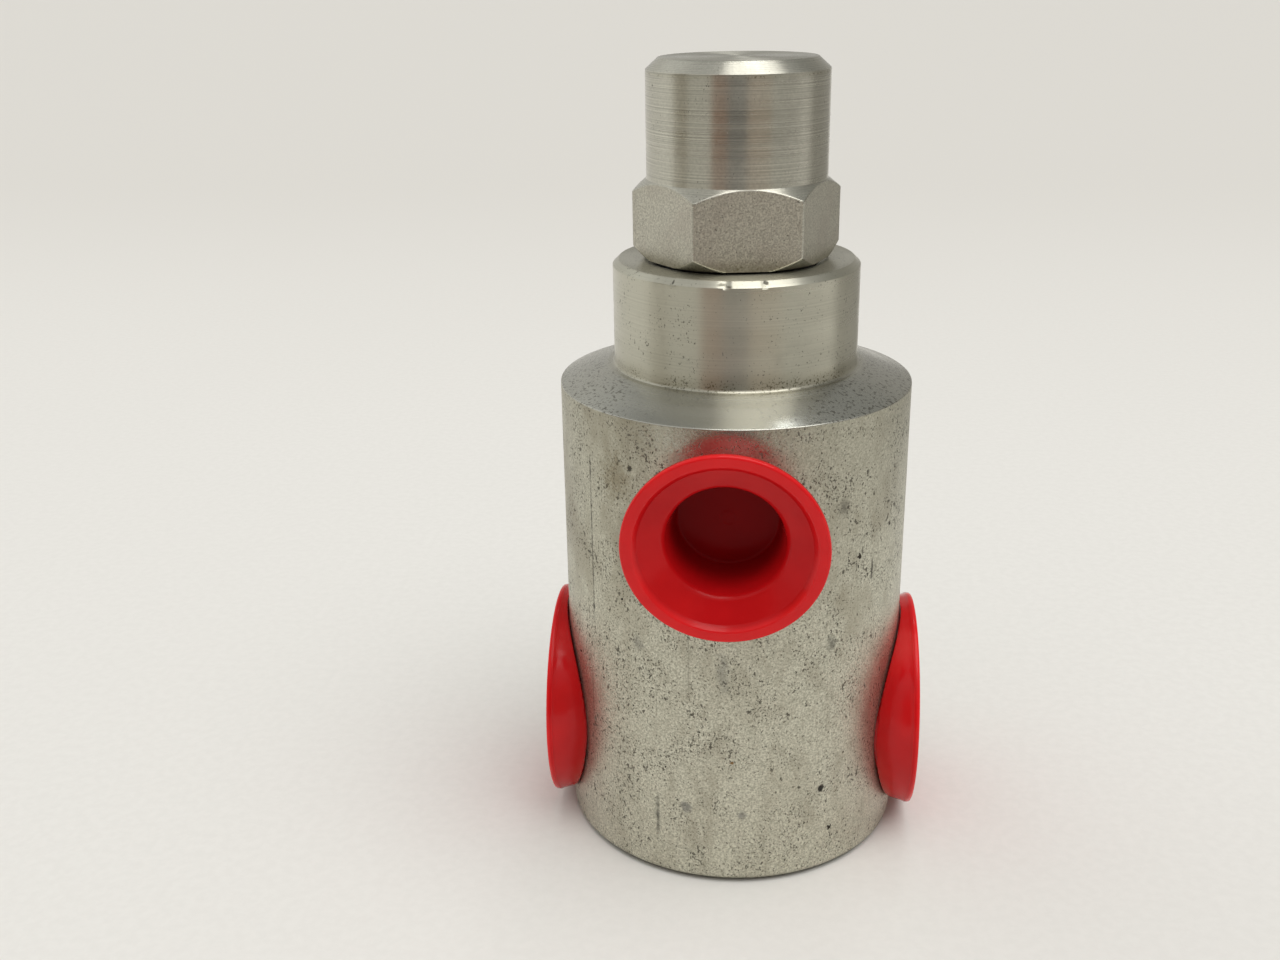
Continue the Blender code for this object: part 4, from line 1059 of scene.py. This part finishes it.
def ring_piece(name, node, body, material):
    """A seal ring or washer at full roundness, from its node's box."""
    low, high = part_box(node)
    outer = high.x
    height = high.z - low.z
    inner = RING_INNER[node]
    middle = (low.z + high.z) / 2
    if node.endswith("o_ring"):
        section = (outer - inner) / 2
        turns = -np.arange(20)[:, None] * TURN / 20
        radii = (outer + inner) / 2 + section * np.cos(turns)
        heights = middle + section * np.sin(turns)
    else:
        points = rounded([
            (inner, high.z, 0.1 * MM),
            (outer, high.z, 0.15 * MM),
            (outer, low.z, 0.15 * MM),
            (inner, low.z, 0.1 * MM),
        ], 3)
        radii, heights = points[:, :1], points[:, 1:]
    piece = surface_piece(name, radii, heights, 160, material, loop=True)
    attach(piece, body)
    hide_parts(node)


# ---------------------------------------------------------------- stage and light
FLOOR_REACH = 12.0
FLOOR_FRONT = 0.24
WALL = (0.70, 0.685, 0.65)
CEILING = (0.74, 0.745, 0.735)
CEILING_BEHIND = (0.31, 0.315, 0.30)
CEILING_LEFT = (0.92, 0.93, 0.91)
# What stands round the table at eye level: degrees from the front, and colour
SURROUNDINGS = (
    (-180, (0.46, 0.45, 0.42)),
    (-100, (0.88, 0.88, 0.83)),
    (-88, (0.74, 0.73, 0.67)),
    (-81, (0.235, 0.20, 0.125)),
    (-66, (0.225, 0.19, 0.125)),
    (-60, (0.47, 0.455, 0.40)),
    (-33, (0.52, 0.505, 0.455)),
    (-28, (0.27, 0.165, 0.115)),
    (-13, (0.24, 0.145, 0.10)),
    (-8, (0.145, 0.138, 0.128)),
    (11, (0.14, 0.13, 0.12)),
    (17, (0.35, 0.28, 0.22)),
    (41, (0.35, 0.295, 0.235)),
    (47, (0.37, 0.36, 0.32)),
    (74, (0.36, 0.345, 0.31)),
    (88, (0.34, 0.325, 0.29)),
    (125, (0.27, 0.26, 0.23)),
    (180, (0.46, 0.45, 0.42)),
)


def sun(name, direction, width, strength, colour):
    """A light from a direction, so many degrees wide."""
    data = bpy.data.lights.new(name, "SUN")
    data.energy = strength
    data.angle = math.radians(width)
    data.color = colour
    light = bpy.data.objects.new(name, data)
    bpy.context.scene.collection.objects.link(light)
    light.rotation_mode = "QUATERNION"
    light.rotation_quaternion = Vector(direction).to_track_quat("Z", "Y")


def room():
    """Even room light, with the darker things in front that a round metal side mirrors as bands."""
    world = bpy.data.worlds.new("room")
    world.use_nodes = True
    n = Nodes(world.node_tree)
    background = n.tree.nodes["Background"]
    x, y, z = n.split(n.tree.nodes.new("ShaderNodeTexCoord").outputs["Generated"])
    around = n.math("ARCTAN2", x, n.times(y, -1.0))
    share = n.plus(n.times(around, 1.0 / TURN), 0.5)
    bands = n.ramp(share, [(degrees / 360 + 0.5, colour) for degrees, colour in SURROUNDINGS])
    behind = n.mix(n.step(x, -0.28, -0.55), CEILING_BEHIND, CEILING_LEFT)
    above = n.mix(n.step(y, 0.08, 0.40), CEILING, behind)
    colour = n.mix(n.step(z, 0.30, 0.72), bands, above)
    seen = n.tree.nodes.new("ShaderNodeLightPath").outputs["Is Camera Ray"]
    n.join(n.mix(seen, colour, WALL), background.inputs["Color"])
    bpy.context.scene.world = world


def stage_sheet(name, points, faces, material):
    """A sheet that isn't part of the object."""
    mesh = bpy.data.meshes.new(name)
    mesh.from_pydata(points, [], faces)
    mesh.materials.append(material)
    sheet = bpy.data.objects.new(name, mesh)
    bpy.context.scene.collection.objects.link(sheet)
    return sheet


def reflection_card(name, start, end, fade, distance, height, brightness):
    """A sheet round part of the table that glows and is seen only in the metal, which mirrors it as a grey
    card. Angles are degrees from the front.
    """
    steps = 12
    angles = [math.radians(start + (end - start) * i / steps) for i in range(steps + 1)]
    points = []
    for angle in angles:
        for level in (0.5 * MM, height):
            points.append((distance * math.sin(angle), -distance * math.cos(angle), level))
    faces = [(2 * i, 2 * i + 1, 2 * i + 3, 2 * i + 2) for i in range(steps)]
    n = Surface(name)
    around = n.times(n.angle, 180.0 / math.pi)
    cover = n.times(n.step(around, start, start + fade), n.step(around, end, end - fade))
    n.set("Base Color", (0.0, 0.0, 0.0))
    n.set("Specular IOR Level", 0.0)
    n.set("Emission Color", (1.0, 0.96, 0.86))
    n.set("Emission Strength", brightness)
    n.set("Alpha", n.times(cover, n.step(n.z, height / MM, 0.6 * height / MM)))
    card = stage_sheet(name, points, faces, n.material)
    card.visible_camera = False
    card.visible_diffuse = False
    card.visible_shadow = False


def floor_sheet(name, back, front, material):
    """A level sheet of the floor, from one distance behind the part's middle to another."""
    corners = [
        (-FLOOR_REACH, front, 0.0),
        (FLOOR_REACH, front, 0.0),
        (FLOOR_REACH, back, 0.0),
        (-FLOOR_REACH, back, 0.0),
    ]
    sheet = stage_sheet(name, corners, [(0, 1, 2, 3)], material)
    sheet.location.z = -0.05 * MM
    return sheet


def studio():
    """Pale floor and wall, soft light from above, and what the metal mirrors."""
    paper = floor_material()
    floor_sheet("floor", FLOOR_REACH, -FLOOR_FRONT, paper)
    # The front of the floor is only for the camera: the metal mirrors the room there instead
    front = floor_sheet("floor_front", -FLOOR_FRONT, -FLOOR_REACH, paper)
    front.visible_glossy = False
    front.visible_diffuse = False
    sun("key", (0.24, -0.22, 0.95), 50.0, 1.36, (1.0, 0.99, 0.97))
    sun("window", (0.11, 0.46, 0.88), 10.0, 0.12, (0.94, 0.98, 1.0))
    reflection_card("right_card", 94.0, 165.0, 16.0, 0.24, 0.14, 0.34)
    room()
    bpy.context.scene.view_settings.view_transform = "Standard"


# ---------------------------------------------------------------- assembly
def main():
    make_camera()
    bar = bar_material()
    neck_steel = turned_steel(
        "neck_steel",
        base=(0.54, 0.525, 0.44),
        contrast=0.07,
        groove_scale=4.4,
        depth=0.000004,
        rough=0.30,
        # Grime bands: dirt at the neck's foot, and painted shade round the neck's top under the cap
        grime_and_shade=((NECK_FOOT / MM + 0.6, 2.6, 0.85), (NECK_TOP / MM, 0.2, 0.4)),
        pit_threshold=0.715,
        marks=NECK_MARKS,
    )
    cap_steel = turned_steel(
        "cap_steel",
        base=(0.54, 0.525, 0.455),
        contrast=0.25,
        groove_scale=4.8,
        depth=0.000012,
        rough=0.27,
        # Grime bands: dirt and painted shade at the cap's foot, and a painted dark line just below the top
        # chamfer
        grime_and_shade=((CAP_FOOT / MM, 1.4, 0.7), (CAP_TOP / MM - 1.9, 0.35, 0.7)),
        pit_threshold=0.745,
    )
    flats = hex_steel()
    gland_steel = turned_steel(
        "gland_steel",
        base=(0.60, 0.54, 0.38),
        contrast=0.2,
        groove_scale=5.0,
        depth=0.000006,
        rough=0.3,
        grime_and_shade=(),
        pit_threshold=0.78,
    )
    dark_steel = ground_steel("screw_steel", (0.06, 0.06, 0.062), 0.42)
    inner_steel = ground_steel("inner_steel", (0.42, 0.42, 0.43), 0.25)
    wire = ground_steel("wire_steel", (0.22, 0.22, 0.23), 0.35)
    red = red_plastic()
    rubber = plain_rubber()
    white = ptfe()
    body_shell(bar, neck_steel)
    for side, word in ((-1, "left"), (1, "right")):
        port_thread(
            f"port_thread_{word}",
            wall=13.05 * MM,
            depth=0.75 * MM,
            near=11.6 * MM,
            far=20.5 * MM,
            place=(0.0, 0.0, GALLERY_Z),
            direction=(side, 0.0, 0.0),
            material=bar,
        )
    # Shallow, so that the barrel of the leaning plug clears it
    port_thread(
        "port_thread_front",
        wall=10.45 * MM,
        depth=0.3 * MM,
        near=13.6 * MM,
        far=21.5 * MM,
        place=(0.0, 0.0, TANK_PORT_Z),
        direction=(0.0, -1.0, 0.0),
        material=bar,
    )
    cap_shell(cap_steel, flats)
    plugs(red)
    gland_piece(gland_steel)
    screw_piece(dark_steel)
    nut_piece(gland_steel)
    ring_piece("cap_seal_ring", "cap_seal", "cap_seal_ring", rubber)
    ring_piece("gland_seal_ring", "gland_o_ring", "valve_body", rubber)
    ring_piece("washer_ring", "lock_washer", "lock_washer", white)
    looks = {
        "spring_button": inner_steel,
        "button_o_ring": rubber,
        "setting_spring": wire,
        "spring_guide": inner_steel,
        "poppet": inner_steel,
        "valve_seat": inner_steel,
        "cartridge_sleeve": gland_steel,
        "sleeve_o_ring": rubber,
        "sleeve_backup_upper": white,
        "sleeve_backup_lower": white,
    }
    for node, material in looks.items():
        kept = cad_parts[node]
        for held in kept.material_slots:
            held.material = material
    studio()


main()
